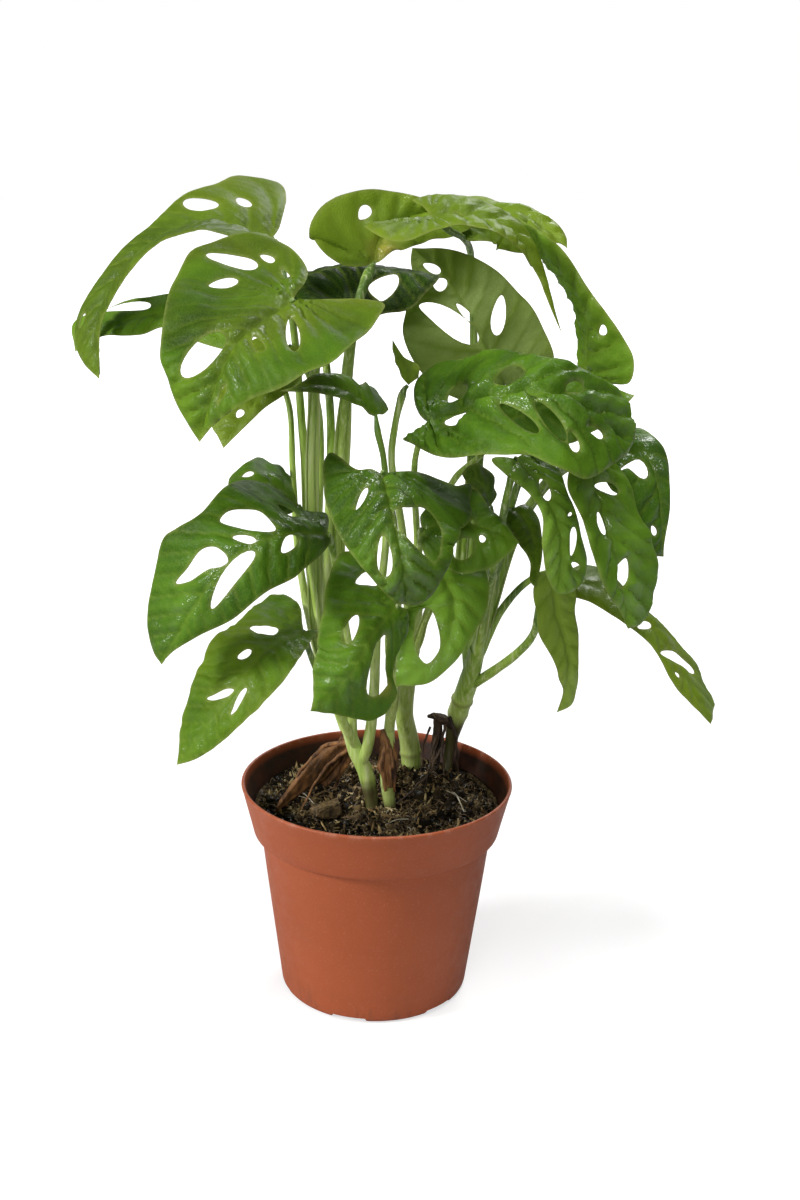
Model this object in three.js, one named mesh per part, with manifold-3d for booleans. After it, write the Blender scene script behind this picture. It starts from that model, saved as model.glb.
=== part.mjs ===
// A small Swiss cheese vine in a 12 cm nursery pot, in millimetres, +Z up.
// The origin is on the pot's axis, in the plane that the pot stands on. -Y is the plant's front.

import * as THREE from "three";
import { mergeVertices } from "three/addons/utils/BufferGeometryUtils.js";
import Module from "manifold-3d";

const wasm = await Module();
wasm.setup();

// ---------------------------------------------------------------- driving dimensions

// Pot: a moulded shell with a deep rim band, a ledge under it and a tapering body.
const POT_HEIGHT = 98;
const RIM_RADIUS = 60;
const RIM_BAND = 22;
const LEDGE_RADIUS = 54.7;
const BODY_TOP_RADIUS = 51.4;
const BODY_FOOT_RADIUS = 42.4;
const FOOT_RING_RADIUS = 40;
const WALL = 1.6;
const FLOOR_LIFT = 3.2;
const CENTRE_PAD_RADIUS = 9;
const PAD_DRAFT = 1.2;
const FOOT_RING_WIDTH = 2;
const FOOT_ROUND = 5;
const EDGE_ROUND = 0.5;
const POT_SEGMENTS = 48;
const NOTCH_COUNT = 6;
const NOTCH_WIDTH = 17;
const NOTCH_HEIGHT = 2.4;
const NOTCH_REACH = 14;
const NOTCH_TURN = -Math.PI / 12;
const DRAIN_HOLES = 6;
const DRAIN_RADIUS = 4;
const DRAIN_CIRCLE = 24;
const DRAIN_SIDES = 12;

// Soil: fills the pot to a little under the rim and rises round the shoots.
const SOIL_EDGE_Z = 85;
const SOIL_MOUND = 6;
const MOUND_CENTRE = [8, 18];
const MOUND_SPREAD = 30;
const SOIL_RINGS = 7;
const SOIL_SEGMENTS = 36;
const SOIL_EDGE_RADIUS = 54.7;

// The clear gap kept between touching pieces, and the rooms cut round a tube and round a blade,
// which their flat sides narrow to about that gap.
const GAP = 0.3;
const TUBE_ROOM = 0.6;
const BLADE_ROOM = 0.45;

// Leaves: blade thickness, and the points inside a blade with the room that they keep to its edges.
const BLADE = 0.8;
const BLADE_SPACING = 9;
const ROW_SPACING = 0.87 * BLADE_SPACING;
const EDGE_ROOM = 0.42 * BLADE_SPACING;
const RIB_ROOM = 1.5;
const RIB_SAMPLES = 48;

// A blade's gentle form: its halves curl down by this angle in radians, and ripple by this height,
// at the share FORM_REACH of its length out from the midrib.
const CURL = 0.12;
const WAVE = 0.9;
const WAVES = 3;
const WAVE_PHASE = 0.2;
const FORM_REACH = 0.35;

// Slots in a blade: corners of the oval, and how much fuller its outer half is.
const SLOT_CORNERS = 6;
const SLOT_EGG = 0.25;

// Sides and steps of the tubes that stems, stalks and roots are made of.
const STALK_SIDES = 6;
const STALK_STEPS = 9;
const STEM_SIDES = 8;
const ROOT_SIDES = 5;
const ROOT_STEPS = 8;

// Bark chip on the soil: half sizes, turn and place.
const CHIP_SIZE = [6.5, 4.5, 2.4];
const CHIP_TURN = 0.5;
const CHIP_PLACE = [-22, -12, 88.45];

// ---------------------------------------------------------------- materials

const material = (color, roughness) =>
  new THREE.MeshStandardMaterial({ color, roughness, metalness: 0 });

const POT_PLASTIC = material(0xa8583a, 0.55);
const SOIL = material(0x2a1d14, 0.95);
const LEAF_GREEN = material(0x3f7a22, 0.45);
const LEAF_PALE = material(0x6f8f35, 0.6);
const LEAF_DARK = material(0x2c5a1a, 0.4);
const STALK_GREEN = material(0x86a64b, 0.5);
const DRY_SHEATH = material(0x7a4a26, 0.85);
const ROOT = material(0x2e2018, 0.9);
const BARK = material(0x5a3d24, 0.9);


// ---------------------------------------------------------------- leaves

// One row per leaf. `rib` is the midrib's course from the stalk to the tip; `left` and `right` are
// points on the two halves beside the share `at` of the midrib. Margins run from the stalk to the
// tip as [share along, share out], a slot is [along, out, along, out, width] and an opening is a
// loop, all as shares of the midrib's length with the right half positive.
const LEAVES = [
  {
    name: "leaf_top_left_arch",
    tone: LEAF_PALE,
    rib: [[-48, 34, 330], [-78, 40, 336], [-106, 34, 321], [-120, 24, 298], [-120, 14, 272]],
    at: 0.27,
    left: [-74, 8, 336],
    right: [-76, 62, 347],
    leftEdge: [[-0.06, 0.09], [0.05, 0.19], [0.25, 0.24], [0.5, 0.2], [0.72, 0.12], [0.88, 0.05]],
    rightEdge: [[0, 0.08], [0.07, 0.29], [0.14, 0.4], [0.21, 0.4], [0.25, 0.29], [0.31, 0.21],
      [0.43, 0.12], [0.59, 0.1], [0.71, 0.12], [0.8, 0.14], [0.86, 0.13], [0.93, 0.08]],
    slots: [[0.3, 0.18, 0.24, 0.07, 0.07], [0.19, 0.2, 0.15, 0.13, 0.04], [0.81, 0.1, 0.77, 0.09, 0.02]],
  },
  {
    name: "leaf_top_left_heart",
    tone: LEAF_GREEN,
    rib: [[-36, -34, 312], [-55, -54, 299], [-64, -62, 281], [-70, -60, 261]],
    at: 0.27,
    left: [-84, -36, 302],
    right: [-17, -70, 295],
    leftEdge: [[-0.07, 0.03], [-0.15, 0.05], [-0.27, 0.13], [-0.37, 0.35], [-0.36, 0.6], [-0.18, 0.75],
      [0.09, 0.73], [0.37, 0.55], [0.56, 0.43], [0.82, 0.28], [0.94, 0.1]],
    rightEdge: [[-0.07, 0.12], [-0.17, 0.34], [-0.19, 0.48], [-0.02, 0.55], [0.3, 0.59], [0.56, 0.44],
      [0.69, 0.23], [0.86, 0.08]],
    slots: [[-0.05, -0.67, -0.17, -0.41, 0.13], [-0.25, -0.46, -0.25, -0.36, 0.04],
      [0.13, -0.49, 0.01, -0.38, 0.07], [0.12, 0.1, 0.34, 0.33, 0.07], [0.71, -0.22, 0.41, -0.1, 0.17],
      [0.36, 0.06, 0.43, 0.18, 0.05], [0.76, 0.06, 0.67, 0.06, 0.03], [-0.22, -0.28, -0.17, -0.18, 0.03]],
  },
  {
    name: "leaf_far_left",
    tone: LEAF_GREEN,
    rib: [[-67, 10, 297], [-94, 26, 298], [-113, 36, 293], [-134, 38, 280]],
    at: 0.27,
    left: [-93, 18, 290],
    right: [-96, 38, 306],
    leftEdge: [[-0.15, 0.14], [0.06, 0.14], [0.35, 0.08], [0.5, 0.12], [0.69, 0.09], [0.85, 0.01],
      [0.95, 0]],
    rightEdge: [[0, 0.15], [0.24, 0.18], [0.47, 0.17], [0.58, 0.17], [0.68, 0.2], [0.79, 0.21],
      [0.9, 0.32], [1, 0.3]],
    slots: [[0.79, 0.2, 0.52, 0.06, 0.07]],
  },
  {
    name: "leaf_under_heart",
    tone: LEAF_PALE,
    rib: [[-39, -2, 290], [-48, -22, 277], [-55, -32, 265], [-63, -36, 254]],
    at: 0.27,
    left: [-64, -12, 277],
    right: [-35, -28, 276],
    leftEdge: [[-0.1, 0.17], [0.02, 0.32], [0.33, 0.33], [0.65, 0.31], [0.92, 0.2], [0.96, 0.09]],
    rightEdge: [[0.01, 0.17], [0.27, 0.24], [0.47, 0.22], [0.64, 0.1], [0.81, 0.04], [0.9, 0.02]],
    slots: [[0.76, -0.06, 0.69, -0.05, 0.06]],
  },
  {
    name: "leaf_top_right_arch",
    tone: LEAF_PALE,
    rib: [[18, -4, 342], [33, -4, 343], [52, -6, 335], [71, -16, 299]],
    at: 0.5,
    left: [61, 18, 345],
    right: [46, -26, 333],
    leftEdge: [[-0.04, 0.11], [-0.09, 0.22], [0.03, 0.28], [0.14, 0.21], [0.26, 0.2], [0.37, 0.15],
      [0.53, 0.12]],
    rightEdge: [[-0.12, 0.03], [-0.28, 0.09], [-0.34, 0.12], [-0.26, 0.28], [-0.17, 0.31], [0.02, 0.23],
      [0.2, 0.19], [0.43, 0.16], [0.65, 0], [0.85, 0], [0.95, 0]],
    slots: [[-0.12, -0.02, -0.04, -0.04, 0.04], [0.11, -0.02, 0.16, 0.06, 0.05]],
  },
  {
    name: "leaf_top_middle",
    tone: LEAF_PALE,
    rib: [[-5, 14, 322], [-2, 20, 332], [11, 26, 341], [32, 30, 344]],
    at: 0.27,
    left: [-17, 16, 345],
    right: [15, 18, 330],
    leftEdge: [[-0.06, 0.07], [-0.13, 0.27], [-0.08, 0.48], [0.1, 0.6], [0.17, 0.57], [0.25, 0.47],
      [0.39, 0.35], [0.51, 0.23], [0.68, 0.11]],
    rightEdge: [[0.04, 0.06], [0.31, 0.23], [0.74, 0.26], [0.92, 0.23], [1.05, 0.16]],
    slots: [[0.23, -0.23, 0.33, -0.24, 0.1]],
  },
  {
    name: "leaf_top_right_drop",
    tone: LEAF_DARK,
    rib: [[84, 10, 279], [81, 4, 305], [67, 8, 324], [44, 18, 341]],
    at: 0.27,
    left: [82, 30, 293],
    right: [95, -14, 298],
    leftEdge: [[-0.03, 0.08], [0.1, 0.16], [0.35, 0.18], [0.6, 0.13], [0.85, 0.05]],
    rightEdge: [[-0.04, 0.04], [-0.01, 0.18], [0.06, 0.33], [0.18, 0.33], [0.25, 0.26], [0.33, 0.17],
      [0.43, 0.12], [0.63, 0.15], [0.8, 0.13], [0.95, 0.07]],
    slots: [[0.24, 0.1, 0.27, 0.15, 0.04]],
  },
  {
    name: "leaf_top_back",
    tone: LEAF_PALE,
    rib: [[29, 36, 338], [43, 40, 342], [58, 36, 342], [76, 26, 329]],
    at: 0.27,
    left: [42, 58, 348],
    right: [47, 18, 329],
    leftEdge: [[0.03, 0.3], [0.15, 0.55], [0.23, 0.46], [0.38, 0.15], [0.59, 0.13], [0.73, 0.15],
      [0.91, 0.09]],
    rightEdge: [[-0.03, 0.13], [0.02, 0.28], [0.65, 0.43], [0.81, 0.31], [0.86, 0.19], [0.89, 0.08],
      [0.94, 0.01]],
  },
  {
    name: "leaf_middle_back",
    tone: LEAF_PALE,
    rib: [[52, 34, 270], [39, 30, 293], [27, 32, 313], [11, 32, 327]],
    at: 0.27,
    left: [65, 38, 300],
    right: [8, 26, 294],
    leftEdge: [[-0.15, 0.08], [-0.16, 0.26], [-0.02, 0.35], [0.28, 0.37], [0.57, 0.3], [0.75, 0.19],
      [0.88, 0.1], [0.95, 0.04]],
    rightEdge: [[-0.03, 0.19], [0.15, 0.35], [0.34, 0.41], [0.5, 0.41], [0.66, 0.36], [0.84, 0.24],
      [0.9, 0.12], [0.96, 0.06]],
    slots: [[0.89, 0.03, 0.78, 0, 0.05], [0.77, 0.07, 0.69, 0.03, 0.08],
      [0.71, 0.22, 0.31, 0.02, 0.13], [0.57, 0.03, 0.43, -0.01, 0.04], [0.49, -0.24, 0.28, -0.1, 0.09]],
  },
  {
    name: "leaf_top_shaded",
    tone: LEAF_DARK,
    rib: [[-37, 24, 315], [-18, 27, 320], [2, 22, 319], [23, 14, 318]],
    at: 0.27,
    left: [-9, 55, 319],
    right: [-12, -1, 303],
    leftEdge: [[-0.08, 0.12], [0.1, 0.27], [0.3, 0.3], [0.55, 0.22], [0.8, 0.1]],
    rightEdge: [[-0.07, 0.09], [-0.07, 0.35], [0.07, 0.52], [0.62, 0.49], [0.79, 0.4], [0.92, 0.34],
      [0.96, 0.22], [0.99, 0.09]],
    openings: [
      [[0.55, 0.18], [0.61, 0.09], [0.7, 0.05], [0.75, 0.15], [0.73, 0.28], [0.69, 0.33],
        [0.61, 0.27]],
    ],
  },
  {
    name: "young_leaf_rolled",
    tone: LEAF_PALE,
    rib: [[10, 0, 274], [8, -2, 283], [3, -4, 293]],
    at: 0.27,
    left: [5, 2, 282],
    right: [13, -8, 284],
    leftEdge: [[0.16, 0.15], [0.52, 0.22], [0.82, 0.12]],
    rightEdge: [[0.27, 0.37], [0.41, 0.48], [0.51, 0.27], [0.63, 0.07], [0.83, 0.02]],
  },
  {
    name: "leaf_small_cupped",
    tone: LEAF_GREEN,
    rib: [[-3, -24, 266], [-12, -30, 276], [-25, -38, 281], [-40, -44, 279]],
    at: 0.27,
    curl: 0.005,
    left: [-15, -44, 276],
    right: [-11, -12, 280],
    leftEdge: [[0.12, 0.09], [0.36, 0.17], [0.6, 0.16], [0.81, 0.1]],
    rightEdge: [[-0.25, 0.33], [-0.53, 0.94], [-0.51, 1.12], [-0.14, 0.74], [0.21, 0.26], [0.41, 0.18],
      [0.63, 0.11], [0.84, 0.02]],
  },
  {
    name: "leaf_right_large",
    tone: LEAF_GREEN,
    rib: [[19, -40, 268], [44, -58, 282], [71, -64, 282], [97, -52, 260]],
    at: 0.27,
    left: [45, -34, 294],
    right: [44, -88, 264],
    leftEdge: [[-0.06, 0.03], [-0.16, 0.19], [-0.19, 0.33], [-0.1, 0.41], [0.1, 0.36], [0.31, 0.27],
      [0.54, 0.19], [0.72, 0.18], [0.91, 0.23], [0.99, 0.12]],
    rightEdge: [[-0.03, 0.03], [-0.14, 0.05], [-0.08, 0.1], [0.08, 0.22], [0.24, 0.28], [0.4, 0.31],
      [0.5, 0.31], [0.61, 0.34], [0.77, 0.31], [0.89, 0.16]],
    slots: [[0.06, -0.07, 0.12, -0.14, 0.14], [0.31, -0.06, 0.41, -0.13, 0.12],
      [0.08, 0.05, 0.19, 0.06, 0.07], [0.6, -0.03, 0.67, -0.08, 0.05], [0.47, 0.02, 0.49, 0.05, 0.02],
      [0.35, 0.06, 0.52, 0.21, 0.05], [0.49, 0.06, 0.63, 0.22, 0.06], [0.64, 0.17, 0.69, 0.24, 0.05],
      [0.71, 0.11, 0.81, 0.08, 0.04]],
  },
  {
    name: "leaf_left_large",
    tone: LEAF_GREEN,
    rib: [[-21, -40, 221], [-40, -58, 225], [-61, -70, 214], [-86, -64, 173]],
    at: 0.27,
    left: [-66, -38, 235],
    right: [-43, -72, 206],
    leftEdge: [[-0.1, 0.15], [0, 0.18], [0.02, 0.26], [0.06, 0.34], [0.15, 0.37], [0.27, 0.33],
      [0.42, 0.27], [0.56, 0.3], [0.63, 0.32], [0.74, 0.29], [0.87, 0.22], [0.95, 0.15], [0.99, 0.07]],
    rightEdge: [[-0.01, 0.02], [0.05, 0.08], [0.23, 0.17], [0.43, 0.18], [0.66, 0.15], [0.81, 0.07],
      [0.92, 0.02]],
    slots: [[0.11, -0.2, 0.08, -0.12, 0.06], [0.41, -0.08, 0.35, -0.01, 0.04],
      [0.27, 0.07, 0.17, 0.02, 0.05], [0.68, 0.06, 0.38, 0.03, 0.06]],
    openings: [
      [[0.4, -0.18], [0.35, -0.2], [0.29, -0.18], [0.24, -0.15], [0.23, -0.09], [0.25, -0.03],
        [0.32, -0.06], [0.38, -0.13]],
      [[0.72, -0.15], [0.64, -0.14], [0.54, -0.14], [0.49, -0.1], [0.48, -0.02], [0.5, 0],
        [0.57, -0.05], [0.66, -0.09]],
    ],
  },
  {
    name: "leaf_left_small",
    tone: LEAF_GREEN,
    rib: [[-34, -14, 226], [-42, -16, 234], [-52, -18, 237], [-62, -20, 233]],
    at: 0.27,
    left: [-49, -26, 230],
    right: [-49, -8, 243],
    leftEdge: [[0.04, 0.2], [0.26, 0.35], [0.87, 0.33], [0.98, 0.15]],
    rightEdge: [[0.12, 0.25], [0.15, 0.9], [0.4, 0.6], [0.51, 0.9], [0.69, 0.5], [0.86, 0.43],
      [0.99, 0.14]],
    slots: [[0.79, 0.18, 0.66, 0.16, 0.12]],
  },
  {
    name: "leaf_lower_left",
    tone: LEAF_GREEN,
    rib: [[-31, -34, 178], [-47, -52, 174], [-61, -62, 157], [-81, -58, 128]],
    at: 0.27,
    left: [-72, -40, 168],
    right: [-40, -66, 165],
    leftEdge: [[-0.08, 0.09], [-0.24, 0.27], [-0.28, 0.4], [-0.25, 0.48], [0.01, 0.39], [0.25, 0.35],
      [0.49, 0.33], [0.72, 0.27], [0.87, 0.19], [0.96, 0.07]],
    rightEdge: [[-0.06, 0.03], [0.04, 0.08], [0.29, 0.18], [0.48, 0.17], [0.65, 0.13],
      [0.85, 0.08], [0.94, 0.04]],
    slots: [[0.09, -0.27, 0.08, -0.11, 0.1], [0.36, -0.1, 0.3, -0.06, 0.05],
      [0.66, -0.12, 0.51, 0, 0.04], [0.6, 0.07, 0.47, 0.05, 0.03]],
  },
  {
    name: "leaf_centre_heart",
    tone: LEAF_DARK,
    rib: [[0, -60, 251], [4, -78, 240], [8, -88, 224], [11, -84, 204]],
    at: 0.27,
    left: [30, -66, 232],
    right: [-20, -70, 235],
    leftEdge: [[-0.03, 0.09], [-0.1, 0.28], [-0.11, 0.49], [-0.12, 0.6], [-0.21, 0.75], [-0.05, 0.71],
      [0.47, 0.5], [0.88, 0.37], [0.98, 0.24], [1.01, 0.1]],
    rightEdge: [[-0.06, 0.06], [-0.11, 0.15], [-0.28, 0.25], [-0.34, 0.3], [-0.25, 0.37], [-0.01, 0.4],
      [0.32, 0.37], [0.62, 0.28], [0.87, 0.15], [0.96, 0.07]],
    slots: [[0.49, 0.09, 0.77, 0.12, 0.09], [0.22, 0.22, 0.08, 0.12, 0.05]],
    openings: [
      [[0.33, -0.03], [0.29, -0.13], [0.24, -0.25], [0.3, -0.35], [0.5, -0.35], [0.75, -0.3],
        [0.79, -0.24], [0.67, -0.17], [0.53, -0.07], [0.44, -0.02]],
    ],
  },
  {
    name: "leaf_front_lower",
    tone: LEAF_GREEN,
    rib: [[7, -58, 197], [-3, -74, 189], [-11, -84, 177], [-26, -82, 161]],
    at: 0.27,
    left: [0, -80, 158],
    right: [-23, -66, 197],
    leftEdge: [[-0.06, 0.09], [0, 0.22], [0.16, 0.27], [0.39, 0.43], [0.72, 0.51], [0.9, 0.45],
      [0.92, 0.23], [0.96, 0.09]],
    rightEdge: [[-0.12, 0.15], [-0.18, 0.29], [-0.26, 0.49], [-0.23, 0.56], [0.07, 0.49], [0.39, 0.34],
      [0.77, 0.22], [0.92, 0.06]],
    slots: [[0.23, 0.17, 0.45, 0.12, 0.08], [0.21, -0.09, 0.69, -0.31, 0.2]],
    openings: [
      [[0, 0.32], [-0.15, 0.32], [-0.09, 0.2], [-0.04, 0.25]],
    ],
  },
  {
    name: "leaf_front_curled",
    tone: LEAF_GREEN,
    rib: [[24, -36, 206], [30, -46, 194], [25, -56, 178], [7, -58, 163]],
    at: 0.27,
    left: [44, -36, 196],
    right: [13, -50, 183],
    leftEdge: [[-0.04, 0.15], [0.04, 0.35], [0.2, 0.29], [0.31, 0.23], [0.46, 0.15], [0.64, 0.12],
      [0.82, 0.11]],
    rightEdge: [[-0.01, 0.07], [0.04, 0.16], [0.1, 0.29], [0.77, 0.38], [0.85, 0.23], [0.94, 0.1],
      [0.98, 0.04]],
    openings: [
      [[0.32, 0.24], [0.3, 0.18], [0.47, 0.09], [0.65, 0.01], [0.74, 0], [0.76, 0.08], [0.69, 0.21]],
    ],
  },
  {
    name: "leaf_centre_pointed",
    tone: LEAF_GREEN,
    rib: [[16, -34, 222], [28, -38, 226], [42, -42, 225], [55, -44, 220]],
    at: 0.27,
    left: [37, -26, 235],
    right: [35, -50, 209],
    leftEdge: [[-0.04, 0.26], [0.13, 0.46], [0.37, 0.52], [0.57, 0.33], [0.79, 0.16]],
    rightEdge: [[-0.02, 0.17], [0.07, 0.38], [0.49, 0.48], [0.83, 0.37], [0.95, 0.15]],
    slots: [[0.62, 0.09, 0.68, 0.14, 0.06], [0.48, -0.06, 0.54, -0.02, 0.04]],
    openings: [
      [[0.35, 0.27], [0.43, 0.16], [0.56, 0.14], [0.6, 0.22], [0.54, 0.33], [0.41, 0.35]],
    ],
  },
  {
    name: "leaf_shaded_lower",
    tone: LEAF_DARK,
    rib: [[55, -8, 225], [61, -12, 219], [64, -18, 210], [64, -27, 196]],
    at: 0.27,
    left: [67, -12, 215],
    right: [53, -16, 217],
    leftEdge: [[0.04, 0.19], [0.18, 0.2], [0.42, 0.12], [0.76, 0.06]],
    rightEdge: [[-0.07, 0.08], [0.03, 0.22], [0.44, 0.2], [0.73, 0.07], [0.93, 0.07]],
  },
  {
    name: "leaf_shaded_small",
    tone: LEAF_DARK,
    rib: [[46, -6, 225], [42, -8, 234], [33, -12, 240]],
    at: 0.27,
    left: [38, -16, 234],
    right: [46, 0, 239],
    leftEdge: [[0.15, 0.3], [0.62, 0.22], [0.87, 0.15]],
    rightEdge: [[0.11, 0.39], [0.34, 0.48], [0.51, 0.49], [0.9, 0.2]],
  },
  {
    name: "leaf_right_narrow",
    tone: LEAF_GREEN,
    rib: [[53, -34, 252], [64, -46, 241], [71, -52, 223], [71, -50, 200]],
    at: 0.5,
    left: [80, -42, 225],
    right: [63, -56, 228],
    leftEdge: [[-0.03, 0.18], [0.11, 0.28], [0.39, 0.21], [0.64, 0.22], [0.85, 0.28], [0.98, 0.31],
      [1.02, 0.13]],
    rightEdge: [[-0.05, 0.16], [0.13, 0.16], [0.28, 0.12], [0.45, 0.1], [0.63, 0.16], [0.81, 0.13],
      [0.94, 0.06]],
    slots: [[0.21, -0.05, 0.37, 0.01, 0.08], [0.76, -0.09, 0.58, -0.14, 0.08],
      [0.5, -0.11, 0.49, -0.16, 0.02], [0.81, -0.1, 0.88, -0.2, 0.04]],
  },
  {
    name: "leaf_right_hanging",
    tone: LEAF_GREEN,
    rib: [[82, -30, 250], [88, -38, 233], [94, -44, 213], [102, -40, 183]],
    at: 0.27,
    left: [111, -22, 221],
    right: [79, -52, 230],
    leftEdge: [[-0.01, 0.21], [0.17, 0.33], [0.45, 0.37], [0.8, 0.38], [0.99, 0.3], [1.03, 0.13]],
    rightEdge: [[0.04, 0.19], [0.14, 0.25], [0.28, 0.22], [0.47, 0.21], [0.64, 0.18], [0.84, 0.07]],
    slots: [[0.29, 0.05, 0.42, 0.05, 0.08], [0.59, -0.08, 0.73, 0.02, 0.11],
      [0.14, -0.01, 0.19, -0.18, 0.07]],
  },
  {
    name: "leaf_right_curled",
    tone: LEAF_GREEN,
    rib: [[95, 10, 244], [110, 4, 247], [117, -2, 232], [121, -2, 203]],
    at: 0.5,
    left: [122, 2, 234],
    right: [102, -10, 230],
    leftEdge: [[0.02, 0.18], [0.16, 0.3], [0.27, 0.18], [0.47, 0.1], [0.68, 0.07], [0.88, 0.02]],
    rightEdge: [[0.02, 0.17], [0.09, 0.39], [0.67, 0.27], [0.83, 0.25], [0.94, 0.17], [0.98, 0.06]],
    slots: [[0.11, 0.19, 0.44, 0.09, 0.12], [0.75, 0.19, 0.84, 0.16, 0.05],
      [0.76, 0.1, 0.83, 0.07, 0.04]],
  },
  {
    name: "leaf_lower_right",
    tone: LEAF_PALE,
    rib: [[78, 4, 192], [98, 0, 186], [121, -4, 168], [145, -8, 130]],
    at: 0.5,
    left: [118, 8, 175],
    right: [103, -16, 176],
    leftEdge: [[0.08, 0.24], [0.23, 0.23], [0.45, 0.13], [0.66, 0.26], [0.9, 0.43], [1.02, 0.41],
      [1.01, 0.16]],
    rightEdge: [[0.04, 0.09], [0.17, 0.11], [0.35, 0.13], [0.52, 0.11], [0.69, 0.13], [0.85, 0.07]],
    slots: [[0.41, 0.09, 0.46, -0.02, 0.04], [0.57, 0.09, 0.82, -0.25, 0.07],
      [0.69, 0.07, 0.72, 0.05, 0.02]],
  },
  {
    name: "leaf_hanging_pale",
    tone: LEAF_PALE,
    rib: [[72, -14, 199], [74, -20, 183], [80, -24, 162], [76, -24, 140]],
    at: 0.27,
    left: [84, -12, 179],
    right: [64, -30, 185],
    leftEdge: [[-0.01, 0.16], [0.11, 0.24], [0.4, 0.18], [0.61, 0.1], [0.81, 0.13], [0.95, 0.14]],
    rightEdge: [[0.01, 0.15], [0.12, 0.21], [0.25, 0.2], [0.35, 0.24], [0.49, 0.19], [0.72, 0.11],
      [0.85, 0]],
  },
  {
    name: "leaf_right_behind",
    tone: LEAF_GREEN,
    rib: [[49, -14, 262], [62, -20, 269], [79, -24, 275], [100, -24, 276]],
    at: 0.27,
    left: [68, 2, 278],
    right: [70, -40, 259],
    leftEdge: [[-0.17, 0.38], [-0.2, 0.76], [0.06, 0.7], [0.56, 0.3], [0.83, 0.13]],
    rightEdge: [[0.01, 0.15], [0.24, 0.33], [0.48, 0.38], [0.72, 0.31], [0.91, 0.12]],
  },
];

// ---------------------------------------------------------------- shoots

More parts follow.
